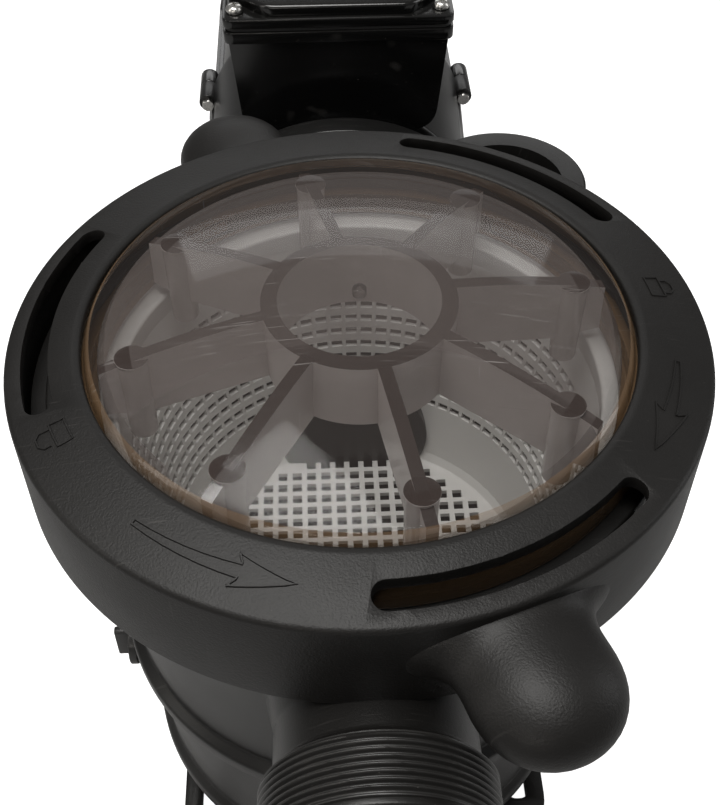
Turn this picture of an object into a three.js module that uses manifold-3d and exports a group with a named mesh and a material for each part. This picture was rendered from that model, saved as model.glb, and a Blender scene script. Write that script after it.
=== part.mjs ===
// Self-priming pool pump: strainer pot under a bayonet-locked clear lid, volute, and an electric motor.
// Millimetres. The strainer pot's axis is x = y = 0, the ground is z = 0, the suction port faces -Y,
// the motor runs back along +Y and the discharge port points up.
import * as THREE from "three";
import { mergeVertices } from "three/addons/utils/BufferGeometryUtils.js";
import Module from "manifold-3d";

const wasm = await Module();
wasm.setup();

// ---------------------------------------------------------------- driving dimensions
const GAP = 0.3; // air left between two pieces that touch
const TURN = 360;

const RING_RADIUS = 120; // lock ring, at its outer top edge
const RING_TOP = 250;
const RING_OPENING = 93.6;
const RING_RISE = 5.4; // the top face climbs this much towards the lid
const SKIRT_BOTTOM = 217.4;
const SKIRT_WALL = 4.6;

const LUG_ANGLES = [54, 174, 294]; // bayonet lugs and the slots above them, degrees from +X
const LUG_SPAN = 50;
const LOBE_ANGLES = [110, 290]; // the two hand lobes of the lock ring

const POT_RIM_TOP = 236;
const POT_RIM_RADIUS = 108.5;
const POT_MOUTH = 95;
const POT_WALL = 5.5;
const POT_BOTTOM = 12;
const potRadius = (z) => 87 + 0.0655 * z; // moulding draft of the outer wall

const SUCTION_Z = 180;
const SUCTION_END = -154;
const SUCTION_BORE = 28.5;
const THREAD_ROOT = 36.2;
const THREAD_CREST = 37.5;

const DISCHARGE_X = 72.6;
const DISCHARGE_Y = 147.8;
const DISCHARGE_TOP = 201.7;
const DISCHARGE_BORE = 26;

const AXIS_Z = 125; // shaft, impeller and motor axis
const PORT_FACE = 110; // joint between pot and volute, along Y
const VOLUTE_FRONT = 118;
const VOLUTE_BACK = 176;
const FLANGE_FACE = 186; // joint between volute and motor bracket, along Y
const FLANGE_RADIUS = 79;
const BRACKET_BACK = 313;
const BRACKET_RADIUS = 74.5;
const NECK_RADIUS = 57; // the bracket is narrower in front of the terminal box
const NECK_END = 219.6;
const SHELL_RADIUS = 72.5;
const SHELL_BACK = 416;
const MOTOR_END = 472;

const BOX_FRONT = 216;
const BOX_BACK = 326;
const BOX_HALF = 52.5;
const BOX_LIP = 240;
const BOX_BOTTOM = 183;

const POT_DRAIN_Z = 62;
const VOLUTE_DRAIN_Y = 150;
const VOLUTE_DRAIN_Z = 29;

// ---------------------------------------------------------------- geometry helpers
const radians = THREE.MathUtils.degToRad;

function polar(radius, degrees) {
  return [radius * Math.cos(radians(degrees)), radius * Math.sin(radians(degrees))];
}

function outline(points) {
  return new THREE.Shape(points.map(([x, y]) => new THREE.Vector2(x, y)));
}

// A solid of revolution about +Z. The profile lists [radius, height] points and is closed for you,
// either along the axis, where it starts and ends on it, or back to its first point.
function turned(profile, segments = 16) {
  const points = profile.map(([r, z]) => new THREE.Vector2(r, z));
  if (THREE.ShapeUtils.area(points) < 0) points.reverse();
  const closesOnAxis = points[0].x === 0 && points.at(-1).x === 0;
  if (!closesOnAxis) points.push(points[0].clone());
  return new THREE.LatheGeometry(points, segments).rotateX(Math.PI / 2);
}

// The same about the motor axis, with heights read along +Y.
function turnedAlongY(profile, segments = 16, x = 0, z = AXIS_Z) {
  return turned(profile, segments).rotateX(-Math.PI / 2).translate(x, 0, z);
}

function disc(radius, low, high, segments = 16) {
  return turned([[0, low], [radius, low], [radius, high], [0, high]], segments);
}

function discAlongY(radius, low, high, segments = 16, x = 0, z = AXIS_Z) {
  return turnedAlongY([[0, low], [radius, low], [radius, high], [0, high]], segments, x, z);
}

function tube(outer, inner, low, high, segments = 16) {
  return turned([[inner, low], [outer, low], [outer, high], [inner, high]], segments);
}

function tubeAlongY(outer, inner, low, high, segments = 16, x = 0, z = AXIS_Z) {
  return turnedAlongY([[inner, low], [outer, low], [outer, high], [inner, high]], segments, x, z);
}

// Profile of a round section, for O-rings.
function roundSection(radius, height, section, sides = 6) {
  return Array.from({ length: sides }, (_, i) => {
    const [dr, dz] = polar(section, ((i + 0.5) * TURN) / sides);
    return [radius + dr, height + dz];
  });
}

function box(x0, x1, y0, y1, z0, z1) {
  return new THREE.BoxGeometry(x1 - x0, y1 - y0, z1 - z0).translate(
    (x0 + x1) / 2,
    (y0 + y1) / 2,
    (z0 + z1) / 2,
  );
}

// A flat outline in X and Y raised from one height to another.
function slab(shape, low, high, curveSegments = 4) {
  const options = { depth: high - low, bevelEnabled: false, curveSegments };
  return new THREE.ExtrudeGeometry(shape, options).translate(0, 0, low);
}

// A flat outline in X and Z stretched along Y.
function slabAlongY(shape, front, back, curveSegments = 4) {
  const options = { depth: back - front, bevelEnabled: false, curveSegments };
  return new THREE.ExtrudeGeometry(shape, options).rotateX(Math.PI / 2).translate(0, back, 0);
}

function roundedRectangle(x0, x1, y0, y1, radius) {
  const shape = new THREE.Shape();
  shape.absarc(x1 - radius, y0 + radius, radius, -Math.PI / 2, 0);
  shape.absarc(x1 - radius, y1 - radius, radius, 0, Math.PI / 2);
  shape.absarc(x0 + radius, y1 - radius, radius, Math.PI / 2, Math.PI);
  shape.absarc(x0 + radius, y0 + radius, radius, Math.PI, 1.5 * Math.PI);
  return shape;
}

// A ring sector centred on an angle, with square or round ends.
function sector(inner, outer, centre, span, roundEnds = false) {
  const shape = new THREE.Shape();
  const from = radians(centre - span / 2);
  const to = radians(centre + span / 2);
  const middle = (inner + outer) / 2;
  const cap = (outer - inner) / 2;
  shape.absarc(0, 0, outer, from, to, false);
  if (roundEnds) shape.absarc(middle * Math.cos(to), middle * Math.sin(to), cap, to, to + Math.PI);
  shape.absarc(0, 0, inner, to, from, true);
  if (roundEnds) {
    const [x, y] = [middle * Math.cos(from), middle * Math.sin(from)];
    shape.absarc(x, y, cap, from + Math.PI, from + 2 * Math.PI);
  }
  return shape;
}

function regularPolygon(radius, sides, x = 0, y = 0) {
  return outline(
    Array.from({ length: sides }, (_, i) => {
      const [dx, dy] = polar(radius, ((i + 0.5) * TURN) / sides);
      return [x + dx, y + dy];
    }),
  );
}

function solidOf(geometry) {
  const bare = geometry.index ? geometry.toNonIndexed() : geometry.clone();
  bare.deleteAttribute("normal");
  bare.deleteAttribute("uv");
  const merged = mergeVertices(bare, 1e-3);
  return new wasm.Manifold(
    new wasm.Mesh({
      numProp: 3,
      vertProperties: merged.attributes.position.array,
      triVerts: new Uint32Array(merged.index.array),
    }),
  );
}

function geometryOf(solid) {
  const mesh = solid.getMesh();
  return new THREE.BufferGeometry()
    .setAttribute("position", new THREE.BufferAttribute(mesh.vertProperties, 3))
    .setIndex(new THREE.BufferAttribute(mesh.triVerts, 1));
}

function joined(...pieces) {
  return geometryOf(pieces.map(solidOf).reduce((whole, piece) => whole.add(piece)));
}

function cut(piece, ...tools) {
  return geometryOf(tools.map(solidOf).reduce((rest, tool) => rest.subtract(tool), solidOf(piece)));
}

// ---------------------------------------------------------------- the assembly
const pump = new THREE.Group();

function add(name, geometry, color, roughness, metalness = 0, more = {}) {
  const material = new THREE.MeshStandardMaterial({ color, roughness, metalness, ...more });
  const mesh = new THREE.Mesh(geometry, material);
  mesh.name = name;
  pump.add(mesh);
}

const MOULDED_BLACK = 0x262423;
const STEEL = 0xb4b4b2;
const SEAL_RUBBER = 0x151515;

// ---------------------------------------------------------------- strainer pot
const POT_SEGMENTS = 24;
const JOINT_BOLT_RADIUS = 38; // bolt circle of the pot-to-volute joint
const JOINT_BOLT_ANGLES = [45, 135, 225, 315];

function potOutside() {
  return turned(
    [
      [0, POT_BOTTOM],
      [80, POT_BOTTOM],
      [86.5, 15],
      [potRadius(27), 27],
      [92.6, 29.5],
      [92.6, 35.5],
      [potRadius(38), 38],
      [potRadius(99), 99],
      [98.4, 101.5],
      [98.4, 107.5],
      [potRadius(110), 110],
      [potRadius(203), 203],
      [POT_RIM_RADIUS, 211],
      [POT_RIM_RADIUS, POT_RIM_TOP],
      [0, POT_RIM_TOP],
    ],
    POT_SEGMENTS,
  );
}

function potInside() {
  const ledge = 223.5; // the basket's rim hangs on this shoulder
  return turned(
    [
      [0, POT_BOTTOM + 6],
      [76, POT_BOTTOM + 6],
      [potRadius(26) - POT_WALL, 26],
      [potRadius(200) - POT_WALL, 200],
      [potRadius(212) - POT_WALL, 212],
      [90.6, 218],
      [90.6, ledge],
      [POT_MOUTH, ledge],
      [POT_MOUTH, POT_RIM_TOP + 1],
      [0, POT_RIM_TOP + 1],
    ],
    POT_SEGMENTS,
  );
}

function suctionPort() {
  return turnedAlongY(
    [
      [0, SUCTION_END],
      [THREAD_CREST, SUCTION_END],
      [THREAD_CREST, SUCTION_END + 3],
      [THREAD_ROOT, SUCTION_END + 4],
      [THREAD_ROOT, -131],
      [32, -129],
      [32, -60],
      [0, -60],
    ],
    32,
    0,
    SUCTION_Z,
  );
}

function potOutlet() {
  return turnedAlongY([[0, 60], [33, 60], [33, 104], [46, 104], [46, PORT_FACE], [0, PORT_FACE]], 16);
}

function jointBoltCentres() {
  return JOINT_BOLT_ANGLES.map((angle) => polar(JOINT_BOLT_RADIUS, angle));
}

function strainerPot() {
  const drainBoss = disc(12, -97, -80, 16).rotateY(Math.PI / 2).translate(0, 0, POT_DRAIN_Z);
  const lugs = LUG_ANGLES.map((angle) => slab(sector(105, 113.5, angle, LUG_SPAN), 226, 234, 3));
  const outside = joined(potOutside(), suctionPort(), potOutlet(), drainBoss, ...lugs);
  const bores = [
    discAlongY(SUCTION_BORE, SUCTION_END - 2, -70, 32, 0, SUCTION_Z),
    discAlongY(25, 70, PORT_FACE + 2, 16),
    disc(6.9, -100, -76, 16).rotateY(Math.PI / 2).translate(0, 0, POT_DRAIN_Z),
    ...jointBoltCentres().map(([x, z]) => discAlongY(3.2, 103, PORT_FACE + 1, 6, x, AXIS_Z + z)),
  ];
  return cut(outside, potInside(), ...bores);
}

add("strainer_pot", strainerPot(), MOULDED_BLACK, 0.45);

// ---------------------------------------------------------------- clear lid, lock ring and basket
const DOME_TOP = 271;
const DOME_EDGE = 91.5;
const DOME_SAG = 15;
const DOME_SPHERE = (DOME_EDGE ** 2 + DOME_SAG ** 2) / (2 * DOME_SAG);
const domeHeight = (r) => DOME_TOP - DOME_SPHERE + Math.sqrt(DOME_SPHERE ** 2 - r ** 2);
const DOME_WALL = 4.5;
const RIB_COUNT = 8;
const RIB_START = 11.4; // degrees from +X to the first radial rib
const POST_CIRCLE = 77;
const RIB_FOOT = 238;

function lidShell() {
  const steps = [0, 30, 60, 86];
  const domeOut = steps.map((r) => [r, domeHeight(r)]);
  const domeIn = steps.map((r) => [r, domeHeight(r) - DOME_WALL]).reverse();
  return turned(
    [
      ...domeOut,
      [DOME_EDGE, 256],
      [92.8, 253.2],
      [92.8, 250.3],
      [104, 248.1],
      [104, POT_RIM_TOP + 0.5],
      [101.9, POT_RIM_TOP + 0.5],
      [101.9, 240.8],
      [97.5, 240.8],
      [97.5, POT_RIM_TOP + 0.5],
      [94.4, POT_RIM_TOP],
      [94.4, 229.5],
      [90.4, 229.5],
      [89.4, 250],
      ...domeIn,
    ],
    POT_SEGMENTS,
  );
}

function lidRib(angle) {
  const side = outline([
    [31, RIB_FOOT],
    [POST_CIRCLE - 4, 231],
    [89.8, 233],
    [89.8, 252],
    [60, domeHeight(60) - 2],
    [31, domeHeight(31) - 2],
  ]);
  const thickness = 4.4;
  return slabAlongY(side, -thickness / 2, thickness / 2).rotateZ(radians(angle));
}

function lidPost(angle) {
  const [x, y] = polar(POST_CIRCLE, angle);
  return disc(5.3, 221, domeHeight(POST_CIRCLE) - 1.5, 6).translate(x, y, 0);
}

function lid() {
  const angles = Array.from({ length: RIB_COUNT }, (_, i) => RIB_START + (i * TURN) / RIB_COUNT);
  return joined(
    lidShell(),
    tube(33, 27.5, RIB_FOOT, domeHeight(33) - 2),
    ...angles.map(lidRib),
    ...angles.map(lidPost),
  );
}

const RING_SEGMENTS = 30;

function lockRing() {
  const inside = RING_RADIUS - SKIRT_WALL + 0.2;
  const slope = RING_RISE / (RING_RADIUS - RING_OPENING);
  const plate = 4.6;
  const shell = turned(
    [
      [RING_RADIUS + 0.2, SKIRT_BOTTOM],
      [RING_RADIUS + 0.2, RING_TOP - 1],
      [RING_RADIUS - 1, RING_TOP + 0.2],
      [RING_OPENING + 1, RING_TOP + RING_RISE],
      [RING_OPENING, RING_TOP + RING_RISE - 1],
      [RING_OPENING, RING_TOP + RING_RISE - plate],
      [inside, RING_TOP + (RING_RADIUS - inside) * slope - plate],
      [inside, SKIRT_BOTTOM],
    ],
    RING_SEGMENTS,
  );
  const lugs = LUG_ANGLES.map((angle) => slab(sector(109.6, 118, angle, LUG_SPAN), 219.3, 225.6, 3));
  const slots = LUG_ANGLES.map((angle) => slab(sector(104.4, 113.8, angle, 45, true), 240, 262, 3));
  const core = disc(inside + SKIRT_WALL / 2, 190, 262, RING_SEGMENTS);
  const lobes = LOBE_ANGLES.map((angle) => cut(lockRingLobe(angle), core));
  return cut(joined(shell, ...lugs, ...lobes), ...slots);
}

// One hand lobe: a bulb that hangs off the skirt, with a wider root that flows into it.
function lockRingLobe(angle) {
  const bulb = new THREE.SphereGeometry(1, 12, 8).scale(27, 24, 17).translate(133, 0, 227);
  const root = new THREE.SphereGeometry(1, 12, 8).scale(14, 33, 15).translate(116, 0, 230);
  return joined(bulb, root).rotateZ(radians(angle));
}

function basket() {
  const wall = 2.2;
  const cup = turned(
    [
      [0, 108],
      [69, 108],
      [71, 110],
      [87.5, 220],
      [87.5, 223.8],
      [94, 223.8],
      [94, 227.2],
      [85.5, 227.2],
      [85.3, 220],
      [71 - wall, 111],
      [68, 108 + wall],
      [0, 108 + wall],
    ],
    POT_SEGMENTS,
  );
  const inlet = discAlongY(30, -100, -40, 24, 0, SUCTION_Z);
  return cut(cup, inlet);
}

add("lid", lid(), 0x8d8480, 0.06, 0, { transparent: true, opacity: 0.35 });
add("lid_o_ring", turned(roundSection(99.7, 238.5, 2), POT_SEGMENTS), SEAL_RUBBER, 0.6);
add("lock_ring", lockRing(), MOULDED_BLACK, 0.55);
add("strainer_basket", basket(), 0xc9c8c4, 0.5);

// ---------------------------------------------------------------- volute casing
const HOUSING_BOLT_ANGLES = [40, 140, 220, 320];
const HOUSING_BOLT_RADIUS = 83;
const BOLT_EAR = 9;
const VOLUTE_START = 70;
const VOLUTE_GROWTH = 26;

// The volute's outline grows by `growth` over one turn, from the cutwater at +X round to the discharge.
function spiral(start, growth) {
  const steps = 32;
  return outline(
    Array.from({ length: steps + 1 }, (_, i) => polar(start + (growth * i) / steps, (i * TURN) / steps)),
  );
}

function housingBoltCentres() {
  return HOUSING_BOLT_ANGLES.map((angle) => polar(HOUSING_BOLT_RADIUS, angle));
}

function boltEars(front, back) {
  return housingBoltCentres().map(([x, z]) => discAlongY(BOLT_EAR, front, back, 10, x, AXIS_Z + z));
}

function voluteCasing() {
  const rearOpening = 68;
  const wall = 5.5;
  const inner = spiral(VOLUTE_START - wall, VOLUTE_GROWTH);
  const outside = joined(
    slabAlongY(spiral(VOLUTE_START, VOLUTE_GROWTH), VOLUTE_FRONT, VOLUTE_BACK).translate(0, 0, AXIS_Z),
    discAlongY(FLANGE_RADIUS, VOLUTE_BACK - 1, FLANGE_FACE, 24),
    ...boltEars(VOLUTE_BACK - 1, FLANGE_FACE),
    discAlongY(46, PORT_FACE + GAP, VOLUTE_FRONT + 1, 16),
    disc(31, AXIS_Z, DISCHARGE_TOP - 8, 16).translate(DISCHARGE_X, DISCHARGE_Y, 0),
    disc(37.5, DISCHARGE_TOP - 16, DISCHARGE_TOP, 16).translate(DISCHARGE_X, DISCHARGE_Y, 0),
    disc(11, VOLUTE_DRAIN_Z, 44, 16).translate(0, VOLUTE_DRAIN_Y, 0),
  );
  const hollow = [
    slabAlongY(inner, VOLUTE_FRONT + 6, VOLUTE_BACK - 6).translate(0, 0, AXIS_Z),
    discAlongY(rearOpening, VOLUTE_BACK - 8, FLANGE_FACE + 1, 24),
    discAlongY(25, PORT_FACE - 2, VOLUTE_FRONT + 8, 16),
    disc(DISCHARGE_BORE, AXIS_Z + 4, DISCHARGE_TOP + 2, 16).translate(DISCHARGE_X, DISCHARGE_Y, 0),
    disc(6.9, VOLUTE_DRAIN_Z - 2, 46, 16).translate(0, VOLUTE_DRAIN_Y, 0),
    tubeAlongY(34.2, 29.8, PORT_FACE - 1, PORT_FACE + 3.2, 16),
  ];
  const boltHoles = [
    ...jointBoltCentres().map(([x, z]) => discAlongY(3.2, PORT_FACE, 117, 6, x, AXIS_Z + z)),
    ...housingBoltCentres().map(([x, z]) => discAlongY(4.2, VOLUTE_BACK + 0.8, 190, 6, x, AXIS_Z + z)),
  ];
  return cut(outside, ...hollow, ...boltHoles);
}

// A hexagon-head bolt along Y. The head lies on the -Y side of `seat` when `towards` is -1.
function boltAlongY(x, z, seat, tip, radius, headRadius, headHeight, towards) {
  const headEnd = seat + towards * headHeight;
  const head = slabAlongY(regularPolygon(headRadius, 6), Math.min(seat, headEnd), Math.max(seat, headEnd));
  const overlap = towards * 1;
  const ends = [seat + overlap, tip].sort((a, b) => a - b);
  const shank = discAlongY(radius, ends[0], ends[1], 6, 0, 0);
  return joined(head, shank).translate(x, 0, z);
}

add("volute_casing", voluteCasing(), MOULDED_BLACK, 0.4);
add("pot_joint_o_ring", turnedAlongY(roundSection(32, PORT_FACE + 1.9, 1.3), 16), SEAL_RUBBER, 0.6);
jointBoltCentres().forEach(([x, z], i) => {
  const bolt = boltAlongY(x, AXIS_Z + z, 104 - GAP, 116, 2.8, 5.2, 4, -1);
  add(`pot_joint_bolt_${i + 1}`, bolt, STEEL, 0.3, 1);
});

// ---------------------------------------------------------------- drain plugs and the base
// A wing-headed plug with its shank along -Z and its head below; each one is then turned to its port.
function drainPlug() {
  return joined(
    disc(6.4, -3, 13, 16),
    disc(11, -6.5, -2.4, 16),
    box(-9.5, 9.5, -2, 2, -13, -6),
  );
}

const plugSeal = () => tube(10.2, 7.2, -2.1, -GAP, 16);
const toPotDrain = (piece) => piece.rotateY(Math.PI / 2).translate(-97, 0, POT_DRAIN_Z);
const toVoluteDrain = (piece) => piece.translate(0, VOLUTE_DRAIN_Y, VOLUTE_DRAIN_Z);

add("pot_drain_plug", toPotDrain(drainPlug()), MOULDED_BLACK, 0.5);
add("pot_drain_o_ring", toPotDrain(plugSeal()), SEAL_RUBBER, 0.6);
add("volute_drain_plug", toVoluteDrain(drainPlug()), MOULDED_BLACK, 0.5);
add("volute_drain_o_ring", toVoluteDrain(plugSeal()), SEAL_RUBBER, 0.6);

function pumpBase() {
  const saddleCut = discAlongY(FLANGE_RADIUS + GAP, 160, 200, 24);
  const saddle = cut(box(-46, 46, VOLUTE_BACK + GAP, FLANGE_FACE - GAP, 4, 60), saddleCut);
  const body = joined(
    slab(roundedRectangle(-82, 82, -72, 206, 16), 0, 8),
    tube(77, 66, 7, POT_BOTTOM - GAP, 32),
    saddle,
  );
  const slots = [
    [-70, -50],
    [70, -50],
    [-70, 190],
    [70, 190],
  ].map(([x, y]) => slab(roundedRectangle(x - 4.5, x + 4.5, y - 8, y + 8, 4.4), -1, 10, 3));
  return cut(body, ...slots);
}

add("pump_base", pumpBase(), MOULDED_BLACK, 0.6);

// ---------------------------------------------------------------- wet end: diffuser, impeller, shaft seal
function diffuser() {
  const body = turnedAlongY(
    [
      [24, 128],
      [62, 128],
      [62, 166],
      [59, 166],
      [59, 131.5],
      [28, 131.5],
      [28, 136],
      [24, 136],
    ],
    20,
  );
  const passages = Array.from({ length: 6 }, (_, i) =>
    box(52, 72, -9, 9, 142, 160)
      .rotateX(-Math.PI / 2)
      .rotateY(radians(60 * i + 30))
      .translate(0, 0, AXIS_Z),
  );
  return cut(body, ...passages);
}

function impeller() {
  const shrouds = [
    turnedAlongY([[22, 137.5], [55, 139.5], [55, 142], [22, 141]], 16),
    tubeAlongY(22.5, 20, 133, 141, 16),
    tubeAlongY(55, 6.4, 152, 155, 16),
    tubeAlongY(13, 6.4, 140, 158, 16),
  ];
  const vaneCount = 6;
  const vanes = Array.from({ length: vaneCount }, (_, i) => impellerVane((i * TURN) / vaneCount));
  return joined(...shrouds, ...vanes);
}

// A backward-curved vane: two arcs a wall apart, swept from the eye to the rim.
function impellerVane(start) {
  const steps = 4;
  const wall = 2.7;
  const sweep = 62;
  const [eye, rim] = [21.2, 54.2];
  const edge = (offset) =>
    Array.from({ length: steps + 1 }, (_, i) => {
      const r = eye + ((rim - eye) * i) / steps;
      const across = THREE.MathUtils.radToDeg(offset / r);
      return polar(r, start - (sweep * i) / steps + across);
    });
  const shape = outline([...edge(0), ...edge(wall).reverse()]);
  return slabAlongY(shape, 140.5, 152.5).translate(0, 0, AXIS_Z);
}

const SEAL_PLATE_RADIUS = 75;

function sealPlate() {
  return turnedAlongY(
    [
      [14, 188],
      [14, 194],
      [SEAL_PLATE_RADIUS, 194],
      [SEAL_PLATE_RADIUS, FLANGE_FACE + GAP],
      [73.8, FLANGE_FACE + GAP],
      [73.8, 189.4],
      [70, 189.4],
      [70, FLANGE_FACE + GAP],
      [62, FLANGE_FACE + GAP],
      [56, 181],
      [25, 176],
      [19, 176],
      [19, 188],
    ],
    20,
  );
}

function sealSpring() {
  const turns = 3;
  const radius = 11.2;
  const front = 160.2;
  const back = 164.6;
  class Helix extends THREE.Curve {
    getPoint(t) {
      const [x, z] = polar(radius, t * turns * TURN);
      return new THREE.Vector3(x, front + t * (back - front), AXIS_Z + z);
    }
  }
  const options = { steps: 24, bevelEnabled: false, extrudePath: new Helix() };
  return new THREE.ExtrudeGeometry(regularPolygon(0.6, 5), options);
}

add("diffuser", diffuser(), 0x3a3a3a, 0.5);
add("impeller", impeller(), 0xd8d4c8, 0.45);
add("seal_plate", sealPlate(), MOULDED_BLACK, 0.5);
add("housing_o_ring", turnedAlongY(roundSection(71.9, 187.9, 1.3), 20), SEAL_RUBBER, 0.6);
add("seal_seat_cup", tubeAlongY(18.7, 15.9, 178, 187.7, 16), SEAL_RUBBER, 0.6);
add("seal_ceramic_seat", tubeAlongY(15.6, 9.6, 177, 187.5, 16), 0xeeeae0, 0.2);
add("seal_rotating_head", tubeAlongY(16.5, 8.7, 165.6, 176.7, 16), 0x303034, 0.35);
add("seal_spring", sealSpring(), STEEL, 0.3, 1);

// ---------------------------------------------------------------- motor
const POCKET_RADIUS = 76.4; // holds the seal plate
const BRACKET_SCREW_ANGLES = [18, 162, 230, 310];
const BRACKET_SCREW_CIRCLE = 76.4;
const EAR_RADIUS = 5.2;
const EAR_FRONT = 298;
const SHELL_LUG_BACK = 326;
const bracketScrewCentres = () => BRACKET_SCREW_ANGLES.map((angle) => polar(BRACKET_SCREW_CIRCLE, angle));

function frontBracket() {
  const shell = turnedAlongY(
    [
      [52, 194 + GAP],
      [POCKET_RADIUS, 194 + GAP],
      [POCKET_RADIUS, FLANGE_FACE + GAP],
      [FLANGE_RADIUS, FLANGE_FACE + GAP],
      [FLANGE_RADIUS, 198],
      [NECK_RADIUS, 200.5],
      [NECK_RADIUS, NECK_END],
      [70, NECK_END + 2.4],
      [BRACKET_RADIUS, BRACKET_BACK - 3],
      [BRACKET_RADIUS, BRACKET_BACK],
      [68, BRACKET_BACK],
      [68, 307],
      [20.3, 307],
      [20.3, 292],
      [14, 292],
      [14, 287],
      [62, 283],
      [62, 230],
      [52, 224],
    ],
    20,
  );
  const ears = bracketScrewCentres().map(([x, z]) =>
    discAlongY(EAR_RADIUS, EAR_FRONT, BRACKET_BACK, 10, x, AXIS_Z + z),
  );
  const screwNotches = bracketScrewCentres().map(([x, z]) =>
    discAlongY(4.3, 268, EAR_FRONT, 10, x, AXIS_Z + z),
  );
  const windows = [
    box(-80, 80, 230, 266, AXIS_Z - 18, AXIS_Z + 18),
    box(-18, 18, 230, 266, AXIS_Z - 80, AXIS_Z),
  ];
  const boltHoles = [
    ...bracketScrewCentres().map(([x, z]) => discAlongY(2.3, 290, 320, 6, x, AXIS_Z + z)),
    ...housingBoltCentres().map(([x, z]) => discAlongY(4.2, 184, 202, 6, x, AXIS_Z + z)),
  ];
  const flangeEars = boltEars(FLANGE_FACE + GAP, 198);
  const pocket = discAlongY(POCKET_RADIUS, FLANGE_FACE, 194 + GAP, 24);
  return cut(joined(shell, ...ears, ...flangeEars), pocket, ...screwNotches, ...windows, ...boltHoles);
}

function rearShield() {
  return turnedAlongY(
    [
      [SHELL_RADIUS, SHELL_BACK + GAP],
      [SHELL_RADIUS, 428],
      [66, 431],
      [10.5, 431],
      [10.5, 427.6],
      [17.8, 427.6],
      [17.8, 415.6],
      [23, 415.6],
      [23, 422],
      [62, 422],
      [65, SHELL_BACK + GAP],
    ],
    20,
  );
}

// The rolled shell with a lug for each bracket screw.
function motorShell() {
  const front = BRACKET_BACK + GAP;
  const lugs = bracketScrewCentres().map(([x, z]) =>
    discAlongY(EAR_RADIUS, front, SHELL_LUG_BACK, 10, x, AXIS_Z + z),
  );
  const holes = bracketScrewCentres().map(([x, z]) =>
    discAlongY(2.3, front - 1, SHELL_LUG_BACK - 2, 6, x, AXIS_Z + z),
  );
  return cut(
    joined(tubeAlongY(SHELL_RADIUS, 68.4, front, SHELL_BACK, 24), ...lugs),
    discAlongY(68.4, front - 1, SHELL_LUG_BACK + 1, 24),
    ...holes,
  );
}

// Laminated core with open slots that face the rotor.
function statorCore() {
  const slots = 12;
  const bore = 38.8;
  const slotFloor = 53;
  const edge = Array.from({ length: slots }, (_, i) => {
    const start = (i * TURN) / slots;
    return [
      polar(bore, start),
      polar(bore, start + 15),
      polar(slotFloor, start + 17),
      polar(slotFloor, start + 28),
    ];
  }).flat();
  const core = tubeAlongY(67.6, 30, 335, 398, 32);
  return cut(core, slabAlongY(outline(edge), 330, 403).translate(0, 0, AXIS_Z));
}

function motorShaft() {
  return turnedAlongY(
    [
      [0, 136],
      [6, 136],
      [6, 158.6],
      [8.3, 158.6],
      [8.3, 306],
      [11, 310],
      [11, 410],
      [7.3, 412],
      [7.3, 456],
      [0, 456],
    ],
    20,
  );
}

function coolingFan() {
  const bladeCount = 7;
  const blades = Array.from({ length: bladeCount }, (_, i) =>
    box(12, 55, -1.2, 1.2, 438, 455)
      .rotateX(-Math.PI / 2)
      .rotateY(radians((i * TURN) / bladeCount))
      .translate(0, 0, AXIS_Z),
  );
  return joined(tubeAlongY(13, 7.7, 436, 454, 16), tubeAlongY(48, 7.7, 436, 439, 16), ...blades);
}

function fanCover() {
  const shell = turnedAlongY(
    [
      [71.8, 431 + GAP],
      [71.8, MOTOR_END - 6],
      [66, MOTOR_END],
      [0, MOTOR_END],
      [0, MOTOR_END - 2.5],
      [64.8, MOTOR_END - 2.5],
      [69.4, MOTOR_END - 7],
      [69.4, 431 + GAP],
    ],
    20,
  );
  const ventCount = 12;
  const vents = Array.from({ length: ventCount }, (_, i) =>
    box(20, 55, -2.2, 2.2, MOTOR_END - 15, MOTOR_END + 5)
      .rotateX(-Math.PI / 2)
      .rotateY(radians((i * TURN) / ventCount))
      .translate(0, 0, AXIS_Z),
  );
  return cut(shell, ...vents);
}

// A bridge foot under the shell: base plate, web and a saddle that follows the shell.
function motorFoot() {
  const profile = outline([
    [-62, 0],
    [62, 0],
    [62, 8],
    [18, 12],
    [18, 36],
    [48, 62],
    [48, 80],
    [-48, 80],
    [-48, 62],
    [-18, 36],
    [-18, 12],
    [-62, 8],
  ]);
  const saddle = discAlongY(SHELL_RADIUS + GAP, 320, 400, 24);
  return cut(slabAlongY(profile, 344, 384), saddle);
}

add("motor_front_bracket", frontBracket(), 0x1d1c1c, 0.45);
add("motor_shell", motorShell(), 0x6a6c6e, 0.3, 0.4);
add("stator_core", statorCore(), 0x77787a, 0.5, 0.8);
add("winding_front", tubeAlongY(60, 42, 318, 334.6, 16), 0xb06a32, 0.4, 0.6);
add("winding_rear", tubeAlongY(60, 42, 398.4, 412, 16), 0xb06a32, 0.4, 0.6);
add("rotor_core", tubeAlongY(38, 11.3, 335, 398, 16), 0x85878a, 0.5, 0.8);
add("shaft", motorShaft(), STEEL, 0.25, 1);
add("front_bearing_outer_ring", tubeAlongY(20, 16.4, 292.4, 304, 16), STEEL, 0.25, 1);
add("front_bearing_inner_ring", tubeAlongY(12, 8.6, 292.4, 304, 16), STEEL, 0.25, 1);
add("rear_bearing_outer_ring", tubeAlongY(17.5, 14.3, 416, 427.2, 16), STEEL, 0.25, 1);
add("rear_bearing_inner_ring", tubeAlongY(10.3, 7.6, 416, 427.2, 16), STEEL, 0.25, 1);
add("water_slinger", tubeAlongY(17, 8.6, 240, 244, 16), SEAL_RUBBER, 0.6);
add("motor_rear_shield", rearShield(), 0x1d1c1c, 0.45);
add("cooling_fan", coolingFan(), 0x1d1c1c, 0.5);
add("fan_cover", fanCover(), 0x1d1c1c, 0.4);
add("motor_foot", motorFoot(), MOULDED_BLACK, 0.6);
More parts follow.
